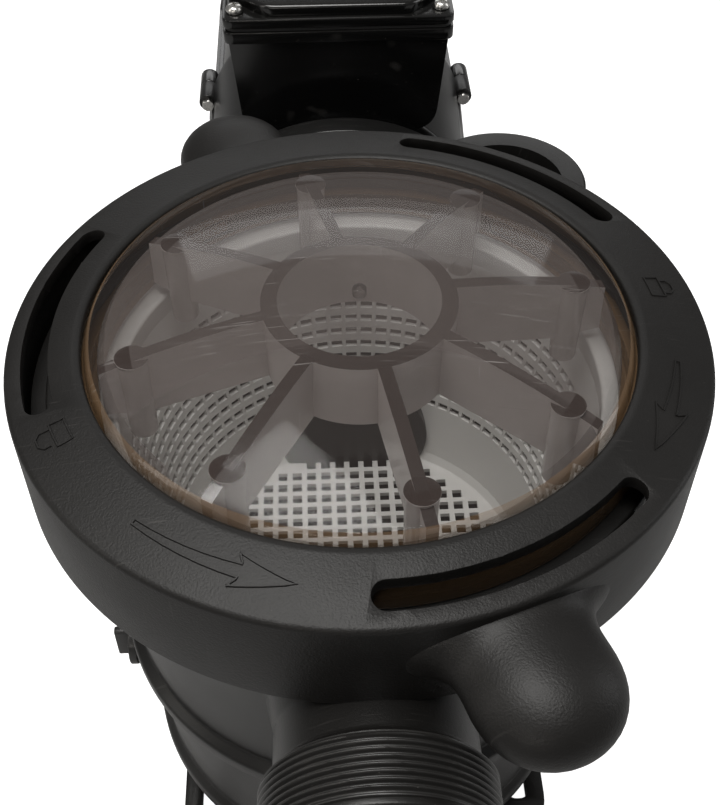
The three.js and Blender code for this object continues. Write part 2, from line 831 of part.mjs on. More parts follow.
housingBoltCentres().forEach(([x, z], i) => {
  const bolt = boltAlongY(x, AXIS_Z + z, 198 + GAP, 178, 3.8, 7.2, 5.4, 1);
  add(`housing_bolt_${i + 1}`, bolt, STEEL, 0.3, 1);
});
bracketScrewCentres().forEach(([x, z], i) => {
  const screw = boltAlongY(x, AXIS_Z + z, EAR_FRONT - GAP, SHELL_LUG_BACK - 4, 1.9, 3.8, 3, -1);
  add(`bracket_screw_${i + 1}`, screw, STEEL, 0.3, 1);
});

// ---------------------------------------------------------------- terminal box
const BOX_WALL = 3;
const GLAND_X = -24;
const GLAND_Z = 220;
const SCREW_X = 48.5;
const SCREW_Y = [222.5, 319.5];
const screwCentres = SCREW_Y.flatMap((y) => [-SCREW_X, SCREW_X].map((x) => [x, y]));

// Front outline of the box: it narrows downwards and its lower corners are round.
function boxFace(inset) {
  const top = BOX_HALF - inset;
  const foot = 47.5 - inset;
  const low = BOX_BOTTOM + inset;
  const corner = 12 - inset;
  const shape = new THREE.Shape();
  shape.moveTo(-top, BOX_LIP + inset);
  shape.lineTo(-foot, low + corner);
  shape.absarc(-foot + corner, low + corner, corner, Math.PI, 1.5 * Math.PI);
  shape.absarc(foot - corner, low + corner, corner, 1.5 * Math.PI, 2 * Math.PI);
  shape.lineTo(top, BOX_LIP + inset);
  return shape;
}

// The bracket's outside and the shell's, grown by `more`, which the box is hollowed to sit on.
function motorSaddle(more) {
  const clearance = 0.8 + more;
  return turnedAlongY(
    [
      [0, 205],
      [NECK_RADIUS + clearance, 205],
      [NECK_RADIUS + clearance, NECK_END - 0.7],
      [70 + clearance, NECK_END - 0.5],
      [BRACKET_RADIUS + clearance, BRACKET_BACK],
      [BRACKET_RADIUS + clearance, 340],
      [0, 340],
    ],
    24,
  );
}

function terminalBox() {
  const lip = slab(roundedRectangle(-54.5, 54.5, BOX_FRONT - 2, BOX_BACK + 2, 5), 234, BOX_LIP, 3);
  const body = joined(slabAlongY(boxFace(0), BOX_FRONT, BOX_BACK), lip);
  const aboveMotor = motorSaddle(BOX_WALL);
  const cavity = cut(slabAlongY(boxFace(BOX_WALL), BOX_FRONT + BOX_WALL, BOX_BACK - BOX_WALL), aboveMotor);
  const open = joined(
    cut(body, cavity),
    ...screwCentres.map(([x, y]) => cornerBoss(x, y)),
  );
  return cut(
    open,
    motorSaddle(0),
    ...screwCentres.map(([x, y]) => disc(2.3, 226, 245, 6).translate(x, y, 0)),
    discAlongY(7.3, 320, 330, 16, GLAND_X, GLAND_Z),
  );
}

function cornerBoss(x, y) {
  return disc(4.6, 222, BOX_LIP - 0.01, 12).translate(x, y, 0);
}

// The cover's raised middle has its corners cut back, which leaves a low seat for each screw.
function terminalBoxCover() {
  const plate = slab(roundedRectangle(-54.5, 54.5, BOX_FRONT - 2, BOX_BACK + 2, 5), 241.8, 246.5, 3);
  const [x, y0, y1, chamfer] = [52, BOX_FRONT + 0.5, BOX_BACK - 0.5, 18];
  const raised = outline([
    [-x + chamfer, y0],
    [x - chamfer, y0],
    [x, y0 + chamfer],
    [x, y1 - chamfer],
    [x - chamfer, y1],
    [-x + chamfer, y1],
    [-x, y1 - chamfer],
    [-x, y0 + chamfer],
  ]);
  const hollow = box(-40, 40, BOX_FRONT + 16, BOX_BACK - 16, 240, 249.5);
  const holes = screwCentres.map(([sx, sy]) => disc(2.3, 240, 250, 6).translate(sx, sy, 0));
  return cut(joined(plate, slab(raised, 246, 252)), hollow, ...holes);
}

function coverScrew() {
  const head = turned([[0, 246.8], [4.1, 246.8], [4.1, 248.6], [2.8, 250], [0, 250.4]], 10);
  const slot = 1.1;
  const shank = disc(1.9, 228, 247.5, 6);
  return cut(
    joined(head, shank),
    box(-2.4, 2.4, -slot / 2, slot / 2, 248.8, 252),
    box(-slot / 2, slot / 2, -2.4, 2.4, 248.8, 252),
  );
}

function gasket() {
  const shape = roundedRectangle(-53.5, 53.5, BOX_FRONT - 1, BOX_BACK + 1, 5);
  const opening = roundedRectangle(-43.5, 43.5, BOX_FRONT + 11.5, BOX_BACK - 11.5, 4);
  const holes = screwCentres.map(([x, y]) => disc(2.5, 238, 244, 6).translate(x, y, 0));
  return cut(slab(shape, BOX_LIP + GAP, 241.5, 3), slab(opening, 239, 243, 3), ...holes);
}

function terminalBlock() {
  const clampCount = 5;
  const body = box(-1, 43, 270, 288, 205, 220);
  const clamps = Array.from({ length: clampCount }, (_, i) => {
    const x = 21 + (i - (clampCount - 1) / 2) * 8.6;
    return disc(2.6, 216, 222, 8).translate(x, 279, 0);
  });
  return cut(body, ...clamps);
}

function capacitor() {
  return turned([[0, -33], [13, -33], [13, 30], [11, 32], [0, 32]], 16)
    .rotateX(-Math.PI / 2)
    .translate(-22, 258, 219);
}

function glandBody() {
  const barrel = turnedAlongY([[5, 321], [6.9, 321], [6.9, 327], [8, 327], [8, 339], [5, 339]], 20, 0, 0);
  const flange = cut(
    slabAlongY(regularPolygon(10.4, 6), BOX_BACK + GAP, 331),
    discAlongY(6, 320, 340, 20, 0, 0),
  );
  return joined(barrel, flange).translate(GLAND_X, 0, GLAND_Z);
}

function glandNut() {
  return turnedAlongY(
    [[8.3, 332], [10.4, 332], [10.4, 340], [7, 345], [4, 345], [4, 342.5], [8.3, 340]],
    12,
    GLAND_X,
    GLAND_Z,
  );
}

add("terminal_box", terminalBox(), 0x121212, 0.2);
add("terminal_box_gasket", gasket(), SEAL_RUBBER, 0.7);
add("terminal_box_cover", terminalBoxCover(), 0x121212, 0.2);
screwCentres.forEach(([x, y], i) => {
  add(`cover_screw_${i + 1}`, coverScrew().translate(x, y, 0), STEEL, 0.3, 1);
});
add("terminal_block", terminalBlock(), 0xded9cc, 0.5);
add("capacitor", capacitor(), 0xe6e4de, 0.4);
add("gland_body", glandBody(), 0x202020, 0.5);
add("gland_seal", tubeAlongY(4.8, 3.5, 329, 339, 12, GLAND_X, GLAND_Z), SEAL_RUBBER, 0.7);
add("gland_nut", glandNut(), 0x202020, 0.5);

export default pump;
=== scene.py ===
# %% [markdown]
# # A pool pump, piece by piece
# The pump stands on a base plate: a strainer pot at the front under a clear lid, a volute behind it
# and an electric motor at the back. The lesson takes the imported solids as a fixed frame, and builds
# a finer piece over each solid that shows. Work in metres; small sizes are written in millimetres
# and multiplied by MM, because a maker reads a drawing that way.

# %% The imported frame
import math

import bmesh
import bpy
from mathutils import Matrix, Vector


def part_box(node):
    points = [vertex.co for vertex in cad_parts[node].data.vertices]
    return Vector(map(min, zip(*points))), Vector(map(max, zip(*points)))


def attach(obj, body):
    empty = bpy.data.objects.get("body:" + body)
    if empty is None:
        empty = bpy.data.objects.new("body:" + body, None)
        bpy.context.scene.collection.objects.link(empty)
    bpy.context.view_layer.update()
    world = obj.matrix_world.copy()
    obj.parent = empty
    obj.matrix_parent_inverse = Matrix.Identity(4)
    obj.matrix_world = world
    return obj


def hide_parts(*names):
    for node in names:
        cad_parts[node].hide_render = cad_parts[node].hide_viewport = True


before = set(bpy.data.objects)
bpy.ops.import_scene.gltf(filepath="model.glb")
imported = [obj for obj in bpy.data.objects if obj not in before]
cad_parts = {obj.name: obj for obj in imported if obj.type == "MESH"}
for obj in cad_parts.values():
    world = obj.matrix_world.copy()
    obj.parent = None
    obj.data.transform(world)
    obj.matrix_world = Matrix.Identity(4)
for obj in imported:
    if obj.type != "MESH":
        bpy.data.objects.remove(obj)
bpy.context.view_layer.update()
MM = 0.001

# %% [markdown]
# Sizes that a node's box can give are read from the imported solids, so a change in them carries over.
# The others are written out here and beside the pieces, and have to be kept in step by hand.
# A node's box gives its ends; a round node's box gives its radius and the height of its axis.

# %% Sizes that pieces share
def low(node):
    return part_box(node)[0] / MM


def high(node):
    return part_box(node)[1] / MM


RING_RADIUS = high("lock_ring").x
RING_LOW = low("lock_ring").z
RING_TOP = 250.0
LID_TOP = high("lid").z
POT_RIM = high("strainer_pot").z
PORT_END = low("strainer_pot").y
SHAFT_Z = (low("motor_shell").z + high("motor_shell").z) / 2
SHELL_RADIUS = (high("motor_shell").z - low("motor_shell").z) / 2
SHELL_FRONT, SHELL_BACK = low("motor_shell").y, high("motor_shell").y
MOTOR_END = high("fan_cover").y
SUCTION_Z = 180.0
DISCHARGE = (72.6, 147.8)
DISCHARGE_TOP = 201.7
LUG_ANGLES = (54, 174, 294)
print("lock ring radius", round(RING_RADIUS, 2), "shaft height", round(SHAFT_Z, 2))

# %% [markdown]
# ## Camera, floor and light
# The camera looks down on the lid from in front of the suction port. The floor is a plain pale
# sheet and the light comes from large soft boxes: black plastic shows its shape only by what it
# mirrors, so the boxes are placed for their reflections more than for their brightness.

# %% Camera
scene = bpy.context.scene
camera = bpy.data.objects.new("camera", bpy.data.cameras.new("camera"))
scene.collection.objects.link(camera)
camera.data.lens = 54.0
camera.data.sensor_width = 36.0
camera.data.clip_start = 0.01
camera.location = (-0.0134, -0.2988, 0.5346)
sight = Vector((0.031, 0.6817, -0.7310)).normalized()
camera.rotation_euler = sight.to_track_quat("-Z", "Y").to_euler()
scene.camera = camera
scene.view_settings.view_transform = "Standard"  # keeps black deep and white pure
print("camera looks down", round(math.degrees(math.asin(-sight.z)), 1), "degrees")


# %% Floor and lights
def soft_box(name, place, aim, width, height, power, colour=(1, 1, 1)):
    lamp = bpy.data.lights.new(name, "AREA")
    lamp.shape = "RECTANGLE"
    lamp.size = width
    lamp.size_y = height
    lamp.energy = power
    lamp.color = colour
    holder = bpy.data.objects.new(name, lamp)
    scene.collection.objects.link(holder)
    holder.location = place
    holder.rotation_euler = (Vector(aim) - Vector(place)).to_track_quat("-Z", "Y").to_euler()
    return holder


world = bpy.data.worlds.new("studio")
scene.world = world
world.use_nodes = True
sky = world.node_tree.nodes["Background"]
sky.inputs["Color"].default_value = (1.0, 0.99, 0.975, 1)
sky.inputs["Strength"].default_value = 0.2

soft_box("overhead box", (-0.15, -0.12, 1.35), (0, 0.0, 0.2), 0.9, 0.5, 15, (1.0, 0.985, 0.96))
soft_box("back box", (0.1, 1.7, 1.0), (0, 0.1, 0.2), 1.6, 0.5, 4)
soft_box("left box", (-1.0, -0.25, 0.75), (0, 0, 0.2), 0.35, 1.1, 2.5, (1.0, 0.96, 0.9))
soft_box("front strip", (-0.35, -0.95, 0.62), (0, 0, 0.22), 0.5, 0.16, 1.2, (1.0, 0.95, 0.88))
soft_box("right box", (1.1, 0.1, 0.6), (0, 0.1, 0.15), 0.3, 0.8, 2)

# %% [markdown]
# ## Tools of the trade
# Four ways of making cover nearly every piece of a moulded and cast machine: turning an outline
# round an axis, raising an outline into a plate, adding or cutting one solid with another, and
# breaking the edges with a small bevel. Each helper below does one of them.

# %% Outlines
def rounded(points, radius=1.0, steps=3, closed=True):
    """The outline with its corners turned into small arcs."""
    count = len(points)
    made = []
    for i, here in enumerate(points):
        if not closed and i in (0, count - 1):
            made.append(tuple(here[:2]))
            continue
        corner = Vector(here[:2])
        back = Vector(points[i - 1][:2]) - corner
        on = Vector(points[(i + 1) % count][:2]) - corner
        wanted = here[2] if len(here) > 2 else radius
        reach = min(wanted, 0.45 * back.length, 0.45 * on.length)
        start = corner + back.normalized() * reach
        end = corner + on.normalized() * reach
        for k in range(steps + 1):
            t = k / steps
            p = start * (1 - t) ** 2 + corner * 2 * t * (1 - t) + end * t * t
            made.append((p.x, p.y))
    return made


def polar(radius, degrees):
    return (radius * math.cos(math.radians(degrees)), radius * math.sin(math.radians(degrees)))


def rounded_box(x0, x1, y0, y1, radius, steps=5):
    return rounded([(x0, y0), (x1, y0), (x1, y1), (x0, y1)], radius, steps)


# %% Meshes
def mesh_object(name, verts, faces):
    """A closed mesh in millimetres becomes an object in metres, with its faces outwards."""
    mesh = bpy.data.meshes.new(name)
    mesh.from_pydata([Vector(v) * MM for v in verts], [], faces)
    work = bmesh.new()
    work.from_mesh(mesh)
    bmesh.ops.remove_doubles(work, verts=work.verts, dist=1e-7)
    bmesh.ops.dissolve_degenerate(work, edges=work.edges, dist=1e-8)
    bmesh.ops.recalc_face_normals(work, faces=work.faces)
    work.to_mesh(mesh)
    work.free()
    piece = bpy.data.objects.new(name, mesh)
    scene.collection.objects.link(piece)
    return piece


def turned(name, outline, axis="Z", centre=(0, 0), segments=128, closed=True):
    """An outline of (radius, height) pairs turned once round Z, Y or X. centre is the axis's place."""
    count = len(outline)
    verts = []
    for i in range(segments):
        a = 2 * math.pi * i / segments
        for r, h in outline:
            u, v = r * math.cos(a), r * math.sin(a)
            if axis == "Z":
                verts.append((centre[0] + u, centre[1] + v, h))
            elif axis == "Y":
                verts.append((centre[0] + u, h, centre[1] + v))
            else:
                verts.append((h, centre[0] + u, centre[1] + v))
    faces = []
    for i in range(segments):
        j = (i + 1) % segments
        for k in range(count if closed else count - 1):
            n = (k + 1) % count
            faces.append((i * count + k, j * count + k, j * count + n, i * count + n))
    return mesh_object(name, verts, faces)


def plate(name, outline, bottom, top, axis="Z"):
    """A flat outline raised along Z, or along Y with the outline read as X and Z."""
    count = len(outline)
    verts = []
    for level in (bottom, top):
        for u, v in outline:
            verts.append((u, v, level) if axis == "Z" else (u, level, v))
    faces = [tuple(range(count)), tuple(range(count, 2 * count))]
    faces += [(k, (k + 1) % count, count + (k + 1) % count, count + k) for k in range(count)]
    return mesh_object(name, verts, faces)


# %% Adding, cutting and softening
def settle(piece):
    """Every modifier becomes part of the mesh."""
    graph = bpy.context.evaluated_depsgraph_get()
    made = bpy.data.meshes.new_from_object(piece.evaluated_get(graph), depsgraph=graph)
    piece.modifiers.clear()
    piece.data = made
    return piece


def combine(piece, tools, operation):
    for tool in tools:
        cutter = piece.modifiers.new(operation, "BOOLEAN")
        cutter.operation = operation
        cutter.solver = "EXACT"
        cutter.object = tool
    settle(piece)
    for tool in tools:
        bpy.data.objects.remove(tool)
    return piece


def cut(piece, *tools):
    return combine(piece, tools, "DIFFERENCE")


def add(piece, *tools):
    return combine(piece, tools, "UNION")


def soften(piece, width, segments=2, degrees=35):
    edge = piece.modifiers.new("edge", "BEVEL")
    edge.width = width * MM
    edge.segments = segments
    edge.limit_method = "ANGLE"
    edge.angle_limit = math.radians(degrees)
    edge.use_clamp_overlap = True
    return settle(piece)


def gather(piece, *others):
    """Separate closed shells kept as one object."""
    work = bmesh.new()
    for source in (piece, *others):
        work.from_mesh(source.data)
    work.to_mesh(piece.data)
    work.free()
    for source in others:
        bpy.data.objects.remove(source)
    return piece


def place(piece, body, nodes, material, slot, degrees=32):
    """The finished piece: its finish, its shading, its body and the solids it stands for."""
    piece.data.materials.clear()
    for finish in material if isinstance(material, (list, tuple)) else [material]:
        piece.data.materials.append(finish)
    piece.data.shade_smooth()
    piece.data.set_sharp_from_angle(angle=math.radians(degrees))
    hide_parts(*nodes)
    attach(piece, body)
    piece.data.calc_loop_triangles()
    print(f"{piece.name}: {len(piece.data.loop_triangles)} triangles on {body}")
    return piece

# %% [markdown]
# ## Finishes
# A moulded part is never one flat colour: the mould leaves a fine grain, handling leaves pale
# scuffs, and dust settles on what faces up. Each of those is a node group with its own inputs, made
# once and used by every finish that needs it with its own values.

# %% Node group helper
def new_group(name, inputs, outputs):
    group = bpy.data.node_groups.new(name, "ShaderNodeTree")
    for label, kind, value in inputs:
        socket = group.interface.new_socket(label, in_out="INPUT", socket_type=kind)
        if value is not None:
            socket.default_value = value
    for label, kind in outputs:
        group.interface.new_socket(label, in_out="OUTPUT", socket_type=kind)
    entry = group.nodes.new("NodeGroupInput")
    leave = group.nodes.new("NodeGroupOutput")
    return group, entry, leave


def math_node(nodes, links, operation, a, b=None, clamp=False):
    node = nodes.new("ShaderNodeMath")
    node.operation = operation
    node.use_clamp = clamp
    for socket, value in zip(node.inputs, (a, b)):
        if value is None:
            continue
        if isinstance(value, (int, float)):
            socket.default_value = value
        else:
            links.new(value, socket)
    return node.outputs[0]


FLOAT, VECTOR = "NodeSocketFloat", "NodeSocketVector"


# %% Mould grain
def make_grain():
    """A fine leather-like grain from two sizes of cell and noise. Height feeds a bump."""
    inputs = [("Vector", VECTOR, None), ("Grain Scale", FLOAT, 2600.0), ("Coarseness", FLOAT, 0.35)]
    group, entry, leave = new_group("Mould grain", inputs, [("Height", FLOAT), ("Patch", FLOAT)])
    nodes, links = group.nodes, group.links
    fine = nodes.new("ShaderNodeTexNoise")
    fine.inputs["Detail"].default_value = 3.0
    cells = nodes.new("ShaderNodeTexVoronoi")
    cells.feature = "SMOOTH_F1"
    broad = nodes.new("ShaderNodeTexNoise")
    broad.inputs["Scale"].default_value = 38.0
    broad.inputs["Detail"].default_value = 4.0
    for node in (fine, cells, broad):
        links.new(entry.outputs["Vector"], node.inputs["Vector"])
    links.new(entry.outputs["Grain Scale"], fine.inputs["Scale"])
    links.new(math_node(nodes, links, "MULTIPLY", entry.outputs["Grain Scale"], 0.55),
        cells.inputs["Scale"])
    part = math_node(nodes, links, "MULTIPLY", cells.outputs["Distance"], entry.outputs["Coarseness"])
    links.new(math_node(nodes, links, "ADD", fine.outputs["Fac"], part), leave.inputs["Height"])
    links.new(broad.outputs["Fac"], leave.inputs["Patch"])
    return group


# %% Scuffs
def make_scuffs():
    """Short pale scratches in three directions, kept to patches."""
    inputs = [("Vector", VECTOR, None), ("Density", FLOAT, 60.0), ("Amount", FLOAT, 0.5)]
    group, entry, leave = new_group("Scuffs", inputs, [("Mask", FLOAT)])
    nodes, links = group.nodes, group.links
    total = None
    for turn, stretch in ((0.35, 26.0), (1.25, 34.0), (2.3, 20.0)):
        mapping = nodes.new("ShaderNodeMapping")
        mapping.inputs["Rotation"].default_value = (0.2, 0.1, turn)
        mapping.inputs["Scale"].default_value = (1.0, stretch, 1.0)
        links.new(entry.outputs["Vector"], mapping.inputs["Vector"])
        lines = nodes.new("ShaderNodeTexNoise")
        lines.inputs["Detail"].default_value = 1.0
        links.new(entry.outputs["Density"], lines.inputs["Scale"])
        links.new(mapping.outputs["Vector"], lines.inputs["Vector"])
        thin = nodes.new("ShaderNodeMapRange")
        thin.inputs["From Min"].default_value = 0.71
        thin.inputs["From Max"].default_value = 0.78
        links.new(lines.outputs["Fac"], thin.inputs["Value"])
        total = thin.outputs[0] if total is None else math_node(nodes, links, "MAXIMUM", total,
            thin.outputs[0])
    patch = nodes.new("ShaderNodeTexNoise")
    patch.inputs["Scale"].default_value = 22.0
    links.new(entry.outputs["Vector"], patch.inputs["Vector"])
    where = nodes.new("ShaderNodeMapRange")
    where.inputs["From Min"].default_value = 0.45
    where.inputs["From Max"].default_value = 0.7
    links.new(patch.outputs["Fac"], where.inputs["Value"])
    kept = math_node(nodes, links, "MULTIPLY", total, where.outputs[0])
    links.new(math_node(nodes, links, "MULTIPLY", kept, entry.outputs["Amount"], True),
        leave.inputs["Mask"])
    return group


# %% Dust
def make_dust():
    """Dust and lint: specks everywhere, and a thin film on faces that look up."""
    inputs = [("Vector", VECTOR, None), ("Amount", FLOAT, 0.5)]
    group, entry, leave = new_group("Dust", inputs, [("Mask", FLOAT)])
    nodes, links = group.nodes, group.links
    specks = nodes.new("ShaderNodeTexVoronoi")
    specks.inputs["Scale"].default_value = 520.0
    links.new(entry.outputs["Vector"], specks.inputs["Vector"])
    spot = nodes.new("ShaderNodeMapRange")
    spot.inputs["From Min"].default_value = 0.13
    spot.inputs["From Max"].default_value = 0.05
    links.new(specks.outputs["Distance"], spot.inputs["Value"])
    sieve = nodes.new("ShaderNodeTexNoise")
    sieve.inputs["Scale"].default_value = 210.0
    links.new(entry.outputs["Vector"], sieve.inputs["Vector"])
    few = nodes.new("ShaderNodeMapRange")
    few.inputs["From Min"].default_value = 0.58
    few.inputs["From Max"].default_value = 0.66
    links.new(sieve.outputs["Fac"], few.inputs["Value"])
    film = nodes.new("ShaderNodeTexNoise")
    film.inputs["Scale"].default_value = 30.0
    film.inputs["Detail"].default_value = 6.0
    links.new(entry.outputs["Vector"], film.inputs["Vector"])
    facing = nodes.new("ShaderNodeNewGeometry")
    split = nodes.new("ShaderNodeSeparateXYZ")
    links.new(facing.outputs["Normal"], split.inputs["Vector"])
    up = math_node(nodes, links, "MAXIMUM", split.outputs["Z"], 0.0)
    layer = math_node(nodes, links, "MULTIPLY", math_node(nodes, links, "MULTIPLY", up,
        film.outputs["Fac"]), 0.06)
    dots = math_node(nodes, links, "MULTIPLY", spot.outputs[0], few.outputs[0])
    sum_up = math_node(nodes, links, "ADD", dots, layer)
    links.new(math_node(nodes, links, "MULTIPLY", sum_up, entry.outputs["Amount"], True),
        leave.inputs["Mask"])
    return group


GRAIN, SCUFFS, DUST = make_grain(), make_scuffs(), make_dust()
print("effects:", GRAIN.name, SCUFFS.name, DUST.name)


# %% A finish from the groups
def mix_colour(nodes, links, mask, under, over):
    node = nodes.new("ShaderNodeMix")
    node.data_type = "RGBA"
    links.new(mask, node.inputs["Factor"])
    for socket, value in ((node.inputs["A"], under), (node.inputs["B"], over)):
        if isinstance(value, tuple):
            socket.default_value = (*value, 1)
        else:
            links.new(value, socket)
    return node.outputs["Result"]


def mix_value(nodes, links, mask, under, over):
    node = nodes.new("ShaderNodeMapRange")
    node.inputs["To Min"].default_value = under
    node.inputs["To Max"].default_value = over
    links.new(mask, node.inputs["Value"])
    return node.outputs[0]


def finish(name, colour, roughness, grain=2600.0, depth=0.12, patch=0.18, scuff=0.35,
    scuff_colour=(0.2, 0.19, 0.18),
           dust=0.3, metallic=0.0, coat=0.0, specular=0.5):
    """A moulded, painted or metal surface with grain, patches of tone, scuffs and dust."""
    material = bpy.data.materials.new(name)
    material.use_nodes = True
    nodes, links = material.node_tree.nodes, material.node_tree.links
    shader = nodes["Principled BSDF"]
    coords = nodes.new("ShaderNodeTexCoord").outputs["Object"]
    grains = nodes.new("ShaderNodeGroup")
    grains.node_tree = GRAIN
    grains.inputs["Grain Scale"].default_value = grain
    scuffs = nodes.new("ShaderNodeGroup")
    scuffs.node_tree = SCUFFS
    scuffs.inputs["Amount"].default_value = scuff
    dusts = nodes.new("ShaderNodeGroup")
    dusts.node_tree = DUST
    dusts.inputs["Amount"].default_value = dust
    for node in (grains, scuffs, dusts):
        links.new(coords, node.inputs["Vector"])
    darker = tuple(c * (1 - patch) for c in colour)
    lighter = tuple(min(1.0, c * (1 + patch)) for c in colour)
    tone = mix_colour(nodes, links, grains.outputs["Patch"], darker, lighter)
    worn = mix_colour(nodes, links, scuffs.outputs["Mask"], tone, scuff_colour)
    dusty = mix_colour(nodes, links, dusts.outputs["Mask"], worn, (0.42, 0.4, 0.37))
    links.new(dusty, shader.inputs["Base Color"])
    rough = mix_value(nodes, links, grains.outputs["Patch"], roughness - 0.06, roughness + 0.06)
    rougher = math_node(nodes, links, "ADD", rough,
        math_node(nodes, links, "MULTIPLY", scuffs.outputs["Mask"], 0.25))
    links.new(rougher, shader.inputs["Roughness"])
    bump = nodes.new("ShaderNodeBump")
    bump.inputs["Strength"].default_value = depth
    bump.inputs["Distance"].default_value = 0.0004
    links.new(grains.outputs["Height"], bump.inputs["Height"])
    links.new(bump.outputs["Normal"], shader.inputs["Normal"])
    shader.inputs["Metallic"].default_value = metallic
    shader.inputs["Specular IOR Level"].default_value = specular
    shader.inputs["Coat Weight"].default_value = coat
    shader.inputs["Coat Roughness"].default_value = 0.12
    return material


# %% [markdown]
# The finishes of the pump. Nearly everything is the same glass-filled black plastic, but the eye
# tells the pieces apart by grain and gloss: the lock ring is grained and handled, the pot is
# smoother and the terminal box is a glossy moulding. The lobes, polished by hands on the real
# pump, share the ring's finish here.

# %% The pump's finishes
ring_plastic = finish("lock_ring_plastic", (0.0065, 0.006, 0.0056), 0.46, 1500.0, 0.3, 0.25, 0.12,
    dust=0.05, specular=0.28)
body_plastic = finish("body_plastic", (0.007, 0.0066, 0.0062), 0.36, 2200.0, 0.16, 0.3, 0.12, dust=0.06,
    specular=0.35)
port_plastic = finish("port_plastic", (0.013, 0.0125, 0.012), 0.34, 2600.0, 0.10, 0.2, 0.15, dust=0.2)
box_plastic = finish("box_plastic", (0.003, 0.003, 0.003), 0.17, 3000.0, 0.05, 0.2, 0.12, dust=0.22)
bracket_paint = finish("bracket_paint", (0.004, 0.004, 0.004), 0.33, 700.0, 0.25, 0.2, 0.12, dust=0.2)
shell_paint = finish("shell_paint", (0.006, 0.006, 0.0062), 0.22, 500.0, 0.12, 0.12, 0.1, dust=0.2,
    coat=0.4)
fan_plastic = finish("fan_plastic", (0.012, 0.012, 0.012), 0.42, 2200.0, 0.2, 0.2, 0.2)
basket_plastic = finish("basket_plastic", (0.62, 0.61, 0.59), 0.42, 1800.0, 0.08, 0.06, 0.1,
    (0.42, 0.41, 0.39), 0.05)
rubber = finish("black_rubber", (0.012, 0.012, 0.012), 0.62, 1800.0, 0.3, 0.2, 0.1)
steel = finish("stainless_steel", (0.58, 0.57, 0.55), 0.26, 900.0, 0.10, 0.08, 0.3, (0.35, 0.34, 0.33), 0.1,
    metallic=1.0)
ground_steel = finish("ground_steel", (0.55, 0.55, 0.55), 0.18, 1600.0, 0.05, 0.05, 0.2, (0.3, 0.3, 0.3),
    0.0, metallic=1.0)
core_steel = finish("laminated_steel", (0.26, 0.26, 0.27), 0.4, 400.0, 0.3, 0.2, 0.2, (0.16, 0.12, 0.1),
    0.0, metallic=0.9)
copper = finish("varnished_copper", (0.42, 0.17, 0.07), 0.3, 300.0, 0.8, 0.3, 0.0, dust=0.0, metallic=0.85)
wet_plastic = finish("wet_end_plastic", (0.12, 0.12, 0.115), 0.4, 2400.0, 0.12, 0.15, 0.2)
ceramic = finish("lapped_ceramic", (0.78, 0.75, 0.68), 0.16, 3000.0, 0.03, 0.04, 0.0, dust=0.0)
carbon = finish("seal_carbon", (0.028, 0.028, 0.031), 0.3, 2400.0, 0.06, 0.2, 0.1, dust=0.0)
nylon = finish("gland_nylon", (0.014, 0.014, 0.014), 0.4, 2400.0, 0.15, 0.2, 0.1)
ivory = finish("terminal_ivory", (0.62, 0.58, 0.48), 0.4, 2400.0, 0.08, 0.06, 0.1, (0.4, 0.38, 0.33), 0.0)
print("finishes:", len(bpy.data.materials))


# %% [markdown]
# The lid is clear plastic with a faint smoke in it. Where the eye looks along a rib, through a
# finger's width of it, the rib shows as a dark brown band: partly the smoke adding up, partly
# painted shade in the crown's finish. Where it looks across a wall, the wall is a pale veil of
# reflected light, painted into the wall's finish as a pale colour. So the lid takes four finishes:
# the shell, the rib's crown, its walls and the rim. A Fresnel node makes each of them denser at a
# glancing view, as a real clear wall is.

# %% Clear finishes
def clear(name, colour, alpha, glance, roughness, streak=0.0):
    material = bpy.data.materials.new(name)
    material.use_nodes = True
    nodes, links = material.node_tree.nodes, material.node_tree.links
    shader = nodes["Principled BSDF"]
    coords = nodes.new("ShaderNodeTexCoord").outputs["Object"]
    cloud = nodes.new("ShaderNodeTexNoise")
    cloud.inputs["Scale"].default_value = 34.0
    cloud.inputs["Detail"].default_value = 3.0
    links.new(coords, cloud.inputs["Vector"])
    scuffs = nodes.new("ShaderNodeGroup")
    scuffs.node_tree = SCUFFS
    scuffs.inputs["Amount"].default_value = 0.25
    scuffs.inputs["Density"].default_value = 45.0
    links.new(coords, scuffs.inputs["Vector"])
    darker = tuple(c * 0.88 for c in colour)
    tone = mix_colour(nodes, links, cloud.outputs["Fac"], darker, colour)
    links.new(mix_colour(nodes, links, scuffs.outputs["Mask"], tone, (0.8, 0.78, 0.76)),
        shader.inputs["Base Color"])
    rough = mix_value(nodes, links, scuffs.outputs["Mask"], roughness, roughness + 0.25)
    links.new(rough, shader.inputs["Roughness"])
    edge = nodes.new("ShaderNodeFresnel")
    edge.inputs["IOR"].default_value = 1.5
    rise = math_node(nodes, links, "MULTIPLY", edge.outputs["Fac"], glance)
    veil = math_node(nodes, links, "ADD", rise, alpha)
    marks = math_node(nodes, links, "MULTIPLY", scuffs.outputs["Mask"], 0.3)
    tide = math_node(nodes, links, "MULTIPLY", cloud.outputs["Fac"], streak)
    total = math_node(nodes, links, "ADD", veil, marks)
    links.new(math_node(nodes, links, "ADD", total, tide, True), shader.inputs["Alpha"])
    shader.inputs["Specular IOR Level"].default_value = 0.5
    shader.inputs["Coat Weight"].default_value = 0.3
    shader.inputs["Coat Roughness"].default_value = 0.03
    return material


lid_shell_clear = clear("lid_shell_clear", (0.10, 0.085, 0.08), 0.06, 0.5, 0.05, 0.03)
# The crown finish: the smoke seen down a rib's depth, darkened further with painted shade.
lid_crown_smoke_and_shade = clear("lid_crown_smoke_and_shade", (0.035, 0.025, 0.022), 0.86, 0.3, 0.12)
